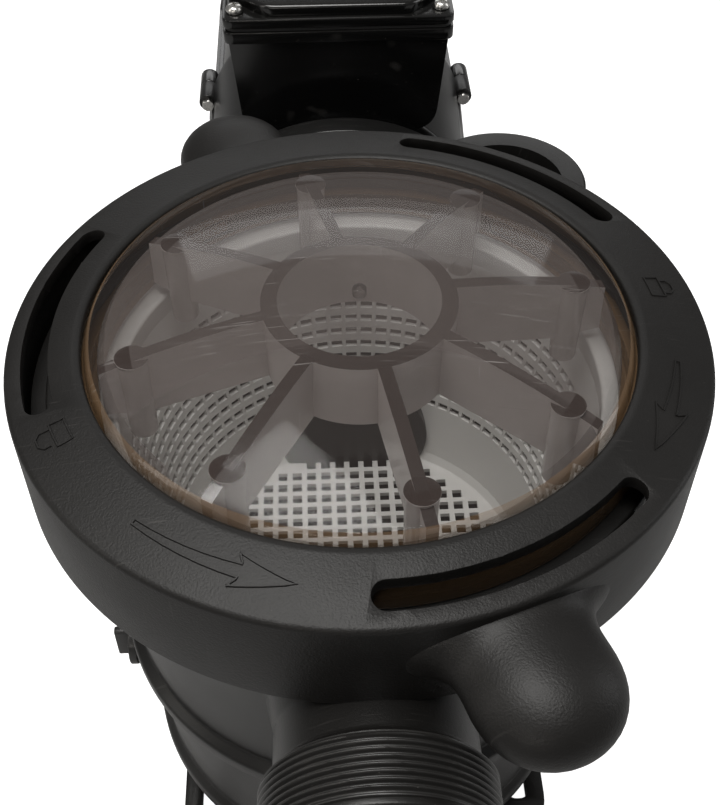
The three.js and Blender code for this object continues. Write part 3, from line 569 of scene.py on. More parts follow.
# The wall finish: its pale colour is painted reflected light on the clear walls.
lid_wall_painted_light = clear("lid_wall_painted_light", (0.66, 0.60, 0.58), 0.70, 0.4, 0.18, 0.1)
lid_rim_clear = clear("lid_rim_clear", (0.16, 0.10, 0.055), 0.42, 0.6, 0.06)
print("clear finishes ready")

# %% [markdown]
# ## Setting out repeated parts
# Ribs, posts, screws and fan blades repeat. One Geometry Nodes tree serves them all: it takes a
# cloud of points, puts a copy of a part on each, turned as the point's own attribute says, makes
# the copies real and gives them their material. The points carry the rule, so a part is drawn once.

# %% The set-out tree
def make_set_out():
    tree = bpy.data.node_groups.new("Set out on points", "GeometryNodeTree")
    tree.interface.new_socket("Geometry", in_out="OUTPUT", socket_type="NodeSocketGeometry")
    tree.interface.new_socket("Points", in_out="INPUT", socket_type="NodeSocketGeometry")
    tree.interface.new_socket("Part", in_out="INPUT", socket_type="NodeSocketObject")
    tree.interface.new_socket("Size", in_out="INPUT", socket_type=FLOAT).default_value = 1.0
    tree.interface.new_socket("Finish", in_out="INPUT", socket_type="NodeSocketMaterial")
    nodes, links = tree.nodes, tree.links
    entry, leave = nodes.new("NodeGroupInput"), nodes.new("NodeGroupOutput")
    part = nodes.new("GeometryNodeObjectInfo")
    turn = nodes.new("GeometryNodeInputNamedAttribute")
    turn.data_type = "FLOAT_VECTOR"
    turn.inputs["Name"].default_value = "turn"
    to_rotation = nodes.new("FunctionNodeEulerToRotation")
    copies = nodes.new("GeometryNodeInstanceOnPoints")
    real = nodes.new("GeometryNodeRealizeInstances")
    dress = nodes.new("GeometryNodeSetMaterial")
    links.new(entry.outputs["Part"], part.inputs["Object"])
    links.new(entry.outputs["Points"], copies.inputs["Points"])
    links.new(part.outputs["Geometry"], copies.inputs["Instance"])
    links.new(turn.outputs["Attribute"], to_rotation.inputs["Euler"])
    links.new(to_rotation.outputs["Rotation"], copies.inputs["Rotation"])
    links.new(entry.outputs["Size"], copies.inputs["Scale"])
    links.new(copies.outputs["Instances"], real.inputs["Geometry"])
    links.new(real.outputs["Geometry"], dress.inputs["Geometry"])
    links.new(entry.outputs["Finish"], dress.inputs["Material"])
    links.new(dress.outputs["Geometry"], leave.inputs["Geometry"])
    return tree


def run_tree(piece, tree, values):
    """A tree's modifier, its inputs set by identifier, and the result kept as a plain mesh."""
    grower = piece.modifiers.new(tree.name, "NODES")
    grower.node_group = tree
    for item in tree.interface.items_tree:
        if item.in_out == "INPUT" and item.name in values:
            grower[item.identifier] = values[item.name]
    return settle(piece)


SET_OUT = make_set_out()


def set_out(name, part, places, finish_of_part):
    """Copies of part on (point in millimetres, turn in degrees) places. The part itself is used up."""
    mesh = bpy.data.meshes.new(name)
    mesh.from_pydata([Vector(point) * MM for point, _ in places], [], [])
    turns = mesh.attributes.new("turn", "FLOAT_VECTOR", "POINT")
    for i, (_, turn) in enumerate(places):
        turns.data[i].vector = [math.radians(t) for t in turn]
    piece = bpy.data.objects.new(name, mesh)
    scene.collection.objects.link(piece)
    run_tree(piece, SET_OUT, {"Part": part, "Size": 1.0, "Finish": finish_of_part})
    bpy.data.objects.remove(part)
    return piece


print("tree ready:", SET_OUT.name)

# %% [markdown]
# ## Lock ring
# The ring clamps the lid: a dished plate with a deep skirt, three arc-shaped slots over the bayonet
# lugs, and two lobes to turn it by. Plate and skirt are one turned outline; the slots are cut and
# their edges broken afterwards, because a moulding never has a knife edge. The lobes are swept
# shells: an oval section that swells to a bulb and flares back into the skirt.

# %% Plate and skirt
RING_OPENING = 93.6
RING_RISE = 5.4
RING_SLOPE = RING_RISE / (RING_RADIUS - RING_OPENING)


def ring_top(radius):
    return RING_TOP + (RING_RADIUS - radius) * RING_SLOPE


def arc_slot(name, inner, outer, centre, span, bottom, top, steps=40):
    """A curved slot with round ends, as a solid to cut or add."""
    outline = [polar(outer, centre - span / 2 + span * i / steps) for i in range(steps + 1)]
    middle, cap = (inner + outer) / 2, (outer - inner) / 2
    for end, side in ((centre + span / 2, 1), (centre - span / 2, -1)):
        cx, cy = polar(middle, end)
        first = end if side > 0 else end + 180
        outline += [(cx + cap * math.cos(math.radians(first + 15 * k)),
            cy + cap * math.sin(math.radians(first + 15 * k)))
                    for k in range(1, 12)]
        if side > 0:
            outline += [polar(inner, centre + span / 2 - span * i / steps) for i in range(steps + 1)]
    return plate(name, outline, bottom, top)


skirt_inside = RING_RADIUS - 4.4
ring_outline = rounded(
    [
        (RING_RADIUS, RING_LOW, 0.8),
        (RING_RADIUS, RING_TOP - 0.3, 1.8),
        (RING_OPENING + 2.4, ring_top(RING_OPENING + 2.4), 1.2),
        (RING_OPENING, ring_top(RING_OPENING) - 1.3, 1.0),
        (RING_OPENING, ring_top(RING_OPENING) - 4.6, 0.6),
        (skirt_inside, RING_TOP - 4.2, 2.0),
        (skirt_inside, RING_LOW, 0.6),
    ],
    steps=4,
)
lock_ring = turned("lock_ring_moulding", ring_outline, segments=192)
cut(lock_ring, *[arc_slot("slot", 104.4, 113.6, a, 45, 238, 262) for a in LUG_ANGLES])
soften(lock_ring, 0.7, 2, 50)
LUG_SPAN_DEGREES = 48
lugs = [arc_slot("lug", 110.4, skirt_inside + 1.2, a, LUG_SPAN_DEGREES, 219.3, 225.6, 24)
    for a in LUG_ANGLES]
gather(lock_ring, *lugs)
print("ring plate cut by", len(LUG_ANGLES), "slots")


# %% Hand lobes
LOBE_ANGLES = (110, 290)
LOBE_STATIONS = (
    (160.0, 0.0, 0.0), (159.6, 0.22, 0.22), (158.0, 0.45, 0.45), (154.6, 0.68, 0.68), (149.5, 0.86, 0.86),
    (143.5, 0.965, 0.97), (137.0, 1.0, 1.0), (131.0, 0.985, 0.98), (126.0, 0.99, 0.97), (122.6, 1.06, 0.98),
    (120.4, 1.20, 1.0), (118.9, 1.40, 1.01), (117.0, 1.52, 1.0), (116.4, 1.2, 0.9), (116.4, 0.0, 0.0),
)


def lobe(angle, around=64):
    """Sections across the lobe, from its tip back into the skirt."""
    half_width, half_height, middle = 23.5, 15.5, 231.0
    verts = []
    for reach, wide, tall in LOBE_STATIONS:
        for k in range(around):
            a = 2 * math.pi * k / around
            side = half_width * wide * math.cos(a)
            level = middle + half_height * tall * math.sin(a) - max(0.0, reach - 128) * 0.03
            sink = reach - (side * side) / (2 * 160) * (1 if reach < 126 else 0.35)
            base = Vector((sink, side, min(level, RING_TOP - 2.5)))
            verts.append(Matrix.Rotation(math.radians(angle), 3, "Z") @ base)
    faces = []
    for s in range(len(LOBE_STATIONS) - 1):
        for k in range(around):
            n = (k + 1) % around
            faces.append((s * around + k, s * around + n, (s + 1) * around + n, (s + 1) * around + k))
    shell = mesh_object("lobe", verts, faces)
    smooth = shell.modifiers.new("round", "SUBSURF")
    smooth.levels = smooth.render_levels = 1
    return settle(shell)


gather(lock_ring, *[lobe(angle) for angle in LOBE_ANGLES])
print("lobes at", LOBE_ANGLES)


# %% [markdown]
# Two thin raised arrows and two padlock marks show which way the ring opens. They are lines half a
# millimetre wide that follow the sloping plate, so each one is drawn as a path in angle and radius
# and given a small square section.

# %% Raised marks
def raised_line(path, width=0.9, height=0.32, closed=True):
    """A low bead along a path of (degrees, radius) on the ring's plate."""
    points = []
    count = len(path)
    steps = 6
    for i in range(count if closed else count - 1):
        (a0, r0), (a1, r1) = path[i], path[(i + 1) % count]
        points += [(a0 + (a1 - a0) * k / steps, r0 + (r1 - r0) * k / steps) for k in range(steps)]
    if not closed:
        points.append(path[-1])
    flat = [Vector(polar(r, a)) for a, r in points]
    verts, faces = [], []
    total = len(flat)
    for i, here in enumerate(flat):
        before = flat[i - 1] if closed or i else here
        after = flat[(i + 1) % total] if closed or i < total - 1 else here
        along = (after - before).normalized()
        side = Vector((-along.y, along.x)) * width / 2
        for offset, rise in ((side, -0.25), (side * 0.55, height), (side * -0.55, height), (-side, -0.25)):
            p = here + offset
            verts.append((p.x, p.y, ring_top(p.length) + rise))
    for i in range(total if closed else total - 1):
        j = (i + 1) % total
        for k in range(4):
            n = (k + 1) % 4
            faces.append((i * 4 + k, j * 4 + k, j * 4 + n, i * 4 + n))
    if not closed:
        faces += [(0, 1, 2, 3), tuple(range(4 * total - 4, 4 * total))]
    return mesh_object("mark", verts, faces)


def arrow(start, end, radius, width=4.2, head=9.0):
    """A long arrow along the ring. The head points at the end angle."""
    way = 1 if end > start else -1
    neck = end - way * head
    half = width / 2
    tail = [(start, radius - half * 0.4), (neck, radius - half), (neck - way * 1.2, radius - width * 1.25)]
    return raised_line(tail + [(end, radius + 0.4), (neck - way * 1.2, radius + width * 1.25),
        (neck, radius + half),
                               (start, radius + half * 0.4)])


def padlock(centre, radius, is_open):
    """A shackle over a square body, drawn about a point on the ring."""
    wide, step = 4.2, 2.6
    body = [(centre - step, radius - wide), (centre + step, radius - wide),
        (centre + step, radius + wide * 0.2),
            (centre - step, radius + wide * 0.2)]
    lift = 1.4 if is_open else 0.0
    shackle = [(centre - step * 0.65, radius + wide * 0.2),
        (centre - step * 0.65, radius + wide * 0.8 + lift),
               (centre - step * 0.3, radius + wide * 1.15 + lift),
               (centre + step * 0.3, radius + wide * 1.15 + lift),
               (centre + step * 0.65, radius + wide * 0.8 + lift),
               (centre + step * 0.65, radius + wide * (0.6 if is_open else 0.2))]
    return [raised_line(body), raised_line(shackle, closed=False)]


marks = [arrow(229, 258, 106.5), arrow(348, 326, 106.5), *padlock(205, 107, True), *padlock(8, 107, False)]
gather(lock_ring, *marks)
place(lock_ring, "lock_ring", ["lock_ring"], ring_plastic, "ring_plastic", 40)

# %% [markdown]
# ## Clear lid
# The lid is a shallow dome on a flange. Inside it hang eight radial ribs, a round post through each
# rib and a sleeve in the middle, all to keep the dome stiff under pressure. They stop a hair under
# the dome here, so that light passes one clear wall at a time. The ribs and posts are drawn once
# and set out round the axis.

# %% Dome and flange
DOME_EDGE, DOME_SAG, DOME_WALL = 91.5, 15.0, 4.5
DOME_SPHERE = (DOME_EDGE ** 2 + DOME_SAG ** 2) / (2 * DOME_SAG)
RIB_START, RIB_COUNT, POST_CIRCLE = 11.4, 8, 77.0


def dome(radius):
    return LID_TOP - DOME_SPHERE + math.sqrt(DOME_SPHERE ** 2 - radius ** 2)


dome_out = [(r, dome(r)) for r in (0, 6, 14, 24, 34, 44, 54, 64, 73, 81, 87)]
dome_in = [(r, dome(r) - DOME_WALL) for r in (86, 80, 73, 64, 54, 44, 34, 24, 14, 6, 0)]
edge_out = rounded([(87, dome(87)), (91.6, 256.2, 3.0), (92.9, 251.6, 1.2), (92.9, 250.4, 0.8),
    (103.6, 248.0, 1.2),
                    (103.6, POT_RIM + 0.4, 0.8), (94.2, POT_RIM + 0.2, 0.6), (94.2, 229.7, 1.2),
                    (90.5, 229.7, 1.0),
                    (89.0, 249.5, 3.0), (86, dome(86) - DOME_WALL)], steps=4, closed=False)
shell = turned("lid_shell", dome_out[:-1] + edge_out[:-1] + dome_in, segments=144, closed=False)
RIM_RADIUS = 88.6
shell.data.materials.append(lid_shell_clear)
shell.data.materials.append(lid_rim_clear)
for face in shell.data.polygons:
    middle = face.center.to_2d().length / MM
    face.material_index = 1 if middle > RIM_RADIUS + 1.6 else 0
print("dome rises", DOME_SAG, "mm over a sphere of", round(DOME_SPHERE, 1))


# %% One rib with its post, and the sleeve
def rib_part():
    """A tapered wall with its crown just under the dome."""
    reach = [31.6 + (88.4 - 31.6) * i / 16 for i in range(17)]
    crown = [(r, dome(r) - DOME_WALL - 0.08) for r in reach]
    foot = [(89.2, 233.0), (POST_CIRCLE - 4, 231.2), (31.6, 238.2)]
    outline = rounded(foot, 1.5, 3, closed=False)
    side = crown + [(88.8, 240.0)] + outline
    count = len(side)
    verts = []
    for face_y in (-1, 1):
        for r, z in side:
            draft = 2.25 - 0.55 * max(0.0, (262 - z) / 30)
            verts.append((r, face_y * draft, z))
    faces = [tuple(range(count)), tuple(range(count, 2 * count))]
    faces += [(k, (k + 1) % count, count + (k + 1) % count, count + k) for k in range(count)]
    return mesh_object("rib", verts, faces)


def paint_crowns(piece):
    """The faces that look up under the dome take the dark crown finish with its painted shade, the rest the
    pale wall finish with its painted reflected light.
    """
    piece.data.materials.clear()
    for material in (lid_wall_painted_light, lid_crown_smoke_and_shade):
        piece.data.materials.append(material)
    for face in piece.data.polygons:
        face.material_index = 1 if face.normal.z > 0.6 else 0


POST_RADIUS = 5.4
post_outline = rounded([(0, 221.2), (POST_RADIUS - 0.5, 221.2),
    (POST_RADIUS, dome(POST_CIRCLE) - DOME_WALL - 0.8),
                        (POST_RADIUS + 0.5, dome(POST_CIRCLE) - DOME_WALL - 0.12),
                        (0, dome(POST_CIRCLE) - DOME_WALL - 0.12)],
                       0.7, 3, closed=False)
spokes = [((0, 0, 0), (0, 0, RIB_START + 360 / RIB_COUNT * i)) for i in range(RIB_COUNT)]
ribs = set_out("lid_ribs", rib_part(), spokes, lid_wall_painted_light)
posts = set_out("lid_posts", turned("post", post_outline, centre=(POST_CIRCLE, 0), segments=32,
    closed=False),
                spokes, lid_wall_painted_light)
sleeve_outline = [(r, dome(r) - DOME_WALL - 0.08) for r in (27.5, 29, 31, 33)] + [(32.4, 238.2),
    (28.1, 238.2)]
sleeve = turned("lid_sleeve", sleeve_outline, segments=96)
for piece in (ribs, posts, sleeve):
    paint_crowns(piece)
print("ribs set out:", RIB_COUNT)

# %% Gate dot and the finished lid
gate = turned("lid_gate", rounded([(0, LID_TOP - 4.4), (2.4, LID_TOP - 4.4), (2.4, LID_TOP - 1.3),
    (1.2, LID_TOP - 0.9),
                                   (0, LID_TOP - 0.9)], 0.5, 3, closed=False), segments=32, closed=False)


def dress(piece, body, nodes, slot, degrees=32):
    """As place, for a piece that already carries its finishes."""
    piece.data.shade_smooth()
    piece.data.set_sharp_from_angle(angle=math.radians(degrees))
    if nodes:
        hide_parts(*nodes)
    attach(piece, body)
    piece.data.calc_loop_triangles()
    print(f"{piece.name}: {len(piece.data.loop_triangles)} triangles on {body}")
    return piece


gate.data.materials.append(lid_shell_clear)
dress(shell, "lid", ["lid"], "clear_lid")
for piece in (ribs, posts, sleeve, gate):
    dress(piece, "lid", ["lid"], "clear_lid")

# %% [markdown]
# ## Strainer basket
# The basket is a pale pail with a wall of small slots in upright columns, a floor of square holes
# and a round window for the incoming water. Cutting nine hundred holes one by one would be slow.
# Instead the wall is a sheet of cells: every cell's face is pulled in on itself and its middle
# removed, and the sheet is then given its thickness. The floor is a disc filled between curves.

# %% Perforated wall tree
def link_value(links, value, socket):
    if isinstance(value, (int, float)):
        socket.default_value = value
    else:
        links.new(value, socket)


def geo_math(tree, operation, a, b=0.0):
    node = tree.nodes.new("ShaderNodeMath")
    node.operation = operation
    link_value(tree.links, a, node.inputs[0])
    link_value(tree.links, b, node.inputs[1])
    return node.outputs[0]


def make_wall_tree():
    tree = bpy.data.node_groups.new("Perforated wall", "GeometryNodeTree")
    tree.interface.new_socket("Geometry", in_out="OUTPUT", socket_type="NodeSocketGeometry")
    for label, kind, value in (("Columns", "NodeSocketInt", 78), ("Rows", "NodeSocketInt", 16),
        ("Foot Radius", FLOAT, 0.07),
                               ("Top Radius", FLOAT, 0.087), ("Foot", FLOAT, 0.11), ("Top", FLOAT, 0.22),
                               ("First Slot", FLOAT, 0.14), ("Last Slot", FLOAT, 0.205),
                               ("Open", FLOAT, 0.66),
                               ("Slot Height", FLOAT, 0.62), ("Window Height", FLOAT, 0.18),
                               ("Window Radius", FLOAT, 0.034),
                               ("Finish", "NodeSocketMaterial", None)):
        socket = tree.interface.new_socket(label, in_out="INPUT", socket_type=kind)
        if value is not None:
            socket.default_value = value
    nodes, links = tree.nodes, tree.links
    entry, leave = nodes.new("NodeGroupInput"), nodes.new("NodeGroupOutput")
    given = entry.outputs
    sheet = nodes.new("GeometryNodeMeshGrid")
    columns = geo_math(tree, "ADD", given["Columns"], 1.0)
    rows = geo_math(tree, "ADD", given["Rows"], 1.0)
    links.new(columns, sheet.inputs["Vertices X"])
    links.new(rows, sheet.inputs["Vertices Y"])
    sheet.inputs["Size X"].default_value = 1.0
    sheet.inputs["Size Y"].default_value = 1.0
    place_of = nodes.new("GeometryNodeInputPosition")
    split = nodes.new("ShaderNodeSeparateXYZ")
    links.new(place_of.outputs["Position"], split.inputs["Vector"])
    angle = geo_math(tree, "MULTIPLY", split.outputs["X"], 2 * math.pi)
    share = geo_math(tree, "ADD", split.outputs["Y"], 0.5)
    grown = geo_math(tree, "MULTIPLY", share, geo_math(tree, "SUBTRACT", given["Top Radius"],
        given["Foot Radius"]))
    radius = geo_math(tree, "ADD", given["Foot Radius"], grown)
    climbed = geo_math(tree, "MULTIPLY", share, geo_math(tree, "SUBTRACT", given["Top"], given["Foot"]))
    join = nodes.new("ShaderNodeCombineXYZ")
    links.new(geo_math(tree, "MULTIPLY", radius, geo_math(tree, "COSINE", angle)), join.inputs["X"])
    links.new(geo_math(tree, "MULTIPLY", radius, geo_math(tree, "SINE", angle)), join.inputs["Y"])
    links.new(geo_math(tree, "ADD", given["Foot"], climbed), join.inputs["Z"])
    wrap = nodes.new("GeometryNodeSetPosition")
    links.new(sheet.outputs["Mesh"], wrap.inputs["Geometry"])
    links.new(join.outputs["Vector"], wrap.inputs["Position"])
    seam = nodes.new("GeometryNodeMergeByDistance")
    links.new(wrap.outputs["Geometry"], seam.inputs["Geometry"])
    where = nodes.new("ShaderNodeSeparateXYZ")
    spot = nodes.new("GeometryNodeInputPosition")
    links.new(spot.outputs["Position"], where.inputs["Vector"])
    above = geo_math(tree, "GREATER_THAN", where.outputs["Z"], given["First Slot"])
    below = geo_math(tree, "LESS_THAN", where.outputs["Z"], given["Last Slot"])
    rise = geo_math(tree, "SUBTRACT", where.outputs["Z"], given["Window Height"])
    spread = geo_math(tree, "SQRT", geo_math(tree, "ADD", geo_math(tree, "MULTIPLY", rise, rise),
                                             geo_math(tree, "MULTIPLY", where.outputs["X"],
                                                 where.outputs["X"])))
    beside = geo_math(tree, "GREATER_THAN", spread, given["Window Radius"])
    behind = geo_math(tree, "GREATER_THAN", where.outputs["Y"], 0.0)
    clear_of = geo_math(tree, "MAXIMUM", beside, behind)
    chosen = geo_math(tree, "MULTIPLY", geo_math(tree, "MULTIPLY", above, below), clear_of)
    ribs_of = nodes.new("GeometryNodeExtrudeMesh")
    ribs_of.mode = "FACES"
    ribs_of.inputs["Individual"].default_value = True
    ribs_of.inputs["Offset Scale"].default_value = 0.0
    links.new(seam.outputs["Geometry"], ribs_of.inputs["Mesh"])
    links.new(chosen, ribs_of.inputs["Selection"])
    shrink = nodes.new("GeometryNodeScaleElements")
    shrink.domain = "FACE"
    links.new(ribs_of.outputs["Mesh"], shrink.inputs["Geometry"])
    links.new(ribs_of.outputs["Top"], shrink.inputs["Selection"])
    links.new(given["Open"], shrink.inputs["Scale"])
    flatten = nodes.new("GeometryNodeScaleElements")
    flatten.domain = "FACE"
    if "Scale Mode" in flatten.inputs:
        flatten.inputs["Scale Mode"].default_value = "Single Axis"
    else:
        flatten.scale_mode = "SINGLE_AXIS"
    flatten.inputs["Axis"].default_value = (0, 0, 1)
    links.new(shrink.outputs["Geometry"], flatten.inputs["Geometry"])
    links.new(ribs_of.outputs["Top"], flatten.inputs["Selection"])
    links.new(given["Slot Height"], flatten.inputs["Scale"])
    holes = nodes.new("GeometryNodeDeleteGeometry")
    holes.domain = "FACE"
    links.new(flatten.outputs["Geometry"], holes.inputs["Geometry"])
    links.new(ribs_of.outputs["Top"], holes.inputs["Selection"])
    real = nodes.new("GeometryNodeRealizeInstances")
    dress_node = nodes.new("GeometryNodeSetMaterial")
    links.new(holes.outputs["Geometry"], real.inputs["Geometry"])
    links.new(real.outputs["Geometry"], dress_node.inputs["Geometry"])
    links.new(given["Finish"], dress_node.inputs["Material"])
    links.new(dress_node.outputs["Geometry"], leave.inputs["Geometry"])
    return tree


def bare_object(name):
    piece = bpy.data.objects.new(name, bpy.data.meshes.new(name))
    scene.collection.objects.link(piece)
    return piece


def thicken(piece, wall, offset):
    """The sheet gets its thickness, and every face is turned outwards."""
    work = bmesh.new()
    work.from_mesh(piece.data)
    bmesh.ops.remove_doubles(work, verts=work.verts, dist=1e-6)
    bmesh.ops.recalc_face_normals(work, faces=work.faces)
    work.to_mesh(piece.data)
    work.free()
    skin = piece.modifiers.new("wall", "SOLIDIFY")
    skin.thickness = wall * MM
    skin.offset = offset
    settle(piece)
    work = bmesh.new()
    work.from_mesh(piece.data)
    bmesh.ops.recalc_face_normals(work, faces=work.faces)
    work.to_mesh(piece.data)
    work.free()
    return piece


BASKET_FOOT, BASKET_TOP = low("strainer_basket").z, high("strainer_basket").z
wall = run_tree(bare_object("basket_wall"), make_wall_tree(), {
    "Columns": 78, "Rows": 16, "Foot Radius": 70.4 * MM, "Top Radius": 86.9 * MM,
    "Foot": (BASKET_FOOT + 5) * MM,
    "Top": 217.5 * MM, "First Slot": 139 * MM, "Last Slot": 205 * MM, "Open": 0.74, "Slot Height": 0.58,
    "Window Height": SUCTION_Z * MM, "Window Radius": 35 * MM, "Finish": basket_plastic})
thicken(wall, 2.2, 0)
window = turned("window", [(0, -110), (30, -110), (30, -40), (0, -40)], "Y", (0, SUCTION_Z), 64,
    closed=False)
cut(wall, window)
print("slots in the wall sheet:", 78 * 10)


# %% Perforated floor tree
def make_floor_tree():
    tree = bpy.data.node_groups.new("Perforated floor", "GeometryNodeTree")
    tree.interface.new_socket("Geometry", in_out="OUTPUT", socket_type="NodeSocketGeometry")
    for label, kind, value in (("Radius", FLOAT, 0.07), ("Holes Inside", FLOAT, 0.063),
        ("Pitch", FLOAT, 0.0065),
                               ("Hole", FLOAT, 0.0042), ("Level", FLOAT, 0.108), ("Wall", FLOAT, 0.0022),
                               ("Finish", "NodeSocketMaterial", None)):
        socket = tree.interface.new_socket(label, in_out="INPUT", socket_type=kind)
        if value is not None:
            socket.default_value = value
    nodes, links = tree.nodes, tree.links
    entry, leave = nodes.new("NodeGroupInput"), nodes.new("NodeGroupOutput")
    given = entry.outputs
    rim = nodes.new("GeometryNodeCurvePrimitiveCircle")
    rim.inputs["Resolution"].default_value = 96
    links.new(given["Radius"], rim.inputs["Radius"])
    count = 21
    grid = nodes.new("GeometryNodeMeshGrid")
    grid.inputs["Vertices X"].default_value = count
    grid.inputs["Vertices Y"].default_value = count
    width = geo_math(tree, "MULTIPLY", given["Pitch"], float(count - 1))
    links.new(width, grid.inputs["Size X"])
    links.new(width, grid.inputs["Size Y"])
    spot = nodes.new("GeometryNodeInputPosition")
    length = nodes.new("ShaderNodeVectorMath")
    length.operation = "LENGTH"
    links.new(spot.outputs["Position"], length.inputs[0])
    inside = geo_math(tree, "LESS_THAN", length.outputs["Value"], given["Holes Inside"])
    square = nodes.new("GeometryNodeCurvePrimitiveQuadrilateral")
    links.new(given["Hole"], square.inputs["Width"])
    links.new(given["Hole"], square.inputs["Height"])
    copies = nodes.new("GeometryNodeInstanceOnPoints")
    links.new(grid.outputs["Mesh"], copies.inputs["Points"])
    links.new(inside, copies.inputs["Selection"])
    links.new(square.outputs["Curve"], copies.inputs["Instance"])
    real = nodes.new("GeometryNodeRealizeInstances")
    links.new(copies.outputs["Instances"], real.inputs["Geometry"])
    both = nodes.new("GeometryNodeJoinGeometry")
    links.new(real.outputs["Geometry"], both.inputs["Geometry"])
    links.new(rim.outputs["Curve"], both.inputs["Geometry"])
    fill = nodes.new("GeometryNodeFillCurve")
    links.new(both.outputs["Geometry"], fill.inputs["Curve"])
    lift = nodes.new("ShaderNodeCombineXYZ")
    links.new(given["Level"], lift.inputs["Z"])
    moved = nodes.new("GeometryNodeSetPosition")
    links.new(fill.outputs["Mesh"], moved.inputs["Geometry"])
    links.new(lift.outputs["Vector"], moved.inputs["Offset"])
    dress_node = nodes.new("GeometryNodeSetMaterial")
    links.new(moved.outputs["Geometry"], dress_node.inputs["Geometry"])
    links.new(given["Finish"], dress_node.inputs["Material"])
    links.new(dress_node.outputs["Geometry"], leave.inputs["Geometry"])
    return tree


floor_disc = run_tree(bare_object("basket_floor"), make_floor_tree(), {
    "Radius": 70.2 * MM, "Holes Inside": 63.5 * MM, "Pitch": 6.5 * MM, "Hole": 4.1 * MM,
    "Level": (BASKET_FOOT + 1.15) * MM,
    "Finish": basket_plastic})
thicken(floor_disc, 2.2, 0)
print("floor triangles:", len(floor_disc.data.polygons))

# %% Rim, foot and handle seats
rim_outline = rounded([(86.0, 215), (88.1, 215, 0.4), (88.1, 223.8, 1.0), (94.0, 223.8, 0.5),
    (94.0, BASKET_TOP, 0.8),
                       (85.2, BASKET_TOP, 1.4)], 0.5, 3)
foot_outline = rounded([(66.5, BASKET_FOOT, 0.5), (69.4, BASKET_FOOT, 1.8), (71.9, BASKET_FOOT + 6.5, 0.5),
                        (69.6, BASKET_FOOT + 6.5, 0.5), (67.6, BASKET_FOOT + 2.3, 1.0),
                        (66.5, BASKET_FOOT + 2.3, 0.4)], 0.5, 3)
window_trim = turned("trim", rounded([(29.6, -84.2), (31.8, -84.2), (31.8, -76.5), (29.6, -76.5)], 0.6, 2),
    "Y",
                     (0, SUCTION_Z), 64)
gather(wall, floor_disc, turned("rim", rim_outline, segments=128),
    turned("foot", foot_outline, segments=96), window_trim)
wall.name = "strainer_basket_moulding"
place(wall, "basket", ["strainer_basket"], basket_plastic, "basket_plastic", 40)

# %% [markdown]
# ## Strainer pot
# The pot is one moulding: a drafted barrel with two hoops, a flared rim, a male-threaded port in
# front, the outlet flange behind and a drain boss at the side. The barrel and the stubs are turned,
# joined, and then bored through, in the order a mould's cores would leave them.

# %% Barrel with its bores
BARREL = 87.0
DRAFT = 0.0655


def barrel(z):
    return BARREL + DRAFT * z


pot_outline = rounded([
    (0, 12), (80, 12, 2), (86.5, 15, 2.5), (barrel(26), 26, 1.0), (92.7, 29.2, 1.2), (92.7, 35.8, 1.2),
    (barrel(39), 39, 1.0),
    (barrel(98.5), 98.5, 1.0), (98.4, 101.3, 1.2), (98.4, 107.7, 1.2), (barrel(110.5), 110.5, 1.0),
    (barrel(202), 202, 4),
    (108.3, 211.5, 2), (108.3, POT_RIM, 1.0), (95.0, POT_RIM, 0.8), (95.0, 223.5, 0.6), (90.6, 223.5, 0.8),
    (90.6, 218, 2),
    (barrel(210) - 5.5, 210, 3), (barrel(28) - 5.5, 28, 6), (76, 18, 5), (0, 18)], 1.0, 3, closed=False)
pot = turned("strainer_pot_moulding", pot_outline, segments=144, closed=False)
THREAD_FRONT, THREAD_BACK = -150.4, -130.6
port = turned("port", rounded([(0, PORT_END), (37.3, PORT_END, 1.0), (37.3, -151.2, 0.6),
    (35.9, -150.6, 0.4), (35.9, THREAD_BACK, 0.6),
                               (33.0, -128.6, 1.5), (32.6, -112, 1.0), (35.5, -98, 6), (35.5, -84),
                               (0, -84)], 0.4, 3, closed=False),
              "Y", (0, SUCTION_Z), 128, closed=False)
outlet = turned("outlet", rounded([(0, 60), (33, 60), (33, 104, 1.5), (46, 104, 0.8), (46, 110, 0.8),
    (0, 110)], 0.5, 3, closed=False),
                "Y", (0, SHAFT_Z), 96, closed=False)
drain = turned("drain", rounded([(0, -96.9), (12, -96.9, 0.8), (12.6, -80), (0, -80)], 0.5, 3,
    closed=False), "X", (0, 62), 64,
               closed=False)
add(pot, port, outlet, drain)
bore = turned("bore", [(0, -160), (29.6, -160), (28.5, -152.6), (28.5, -75), (0, -75)], "Y", (0, SUCTION_Z),
    96, closed=False)
outlet_bore = turned("outlet_bore", [(0, 70), (25, 70), (25, 115), (0, 115)], "Y", (0, SHAFT_Z), 64,
    closed=False)
drain_bore = turned("drain_bore", [(0, -101), (6.9, -101), (6.9, -74), (0, -74)], "X", (0, 62), 48,
    closed=False)
cut(pot, bore, outlet_bore, drain_bore)
pot_lugs = [arc_slot("pot_lug", 104, 113.4, a, 48, 226.2, 233.8, 24) for a in LUG_ANGLES]
gather(pot, *pot_lugs)
print("pot moulded with", len(pot_lugs), "bayonet lugs")


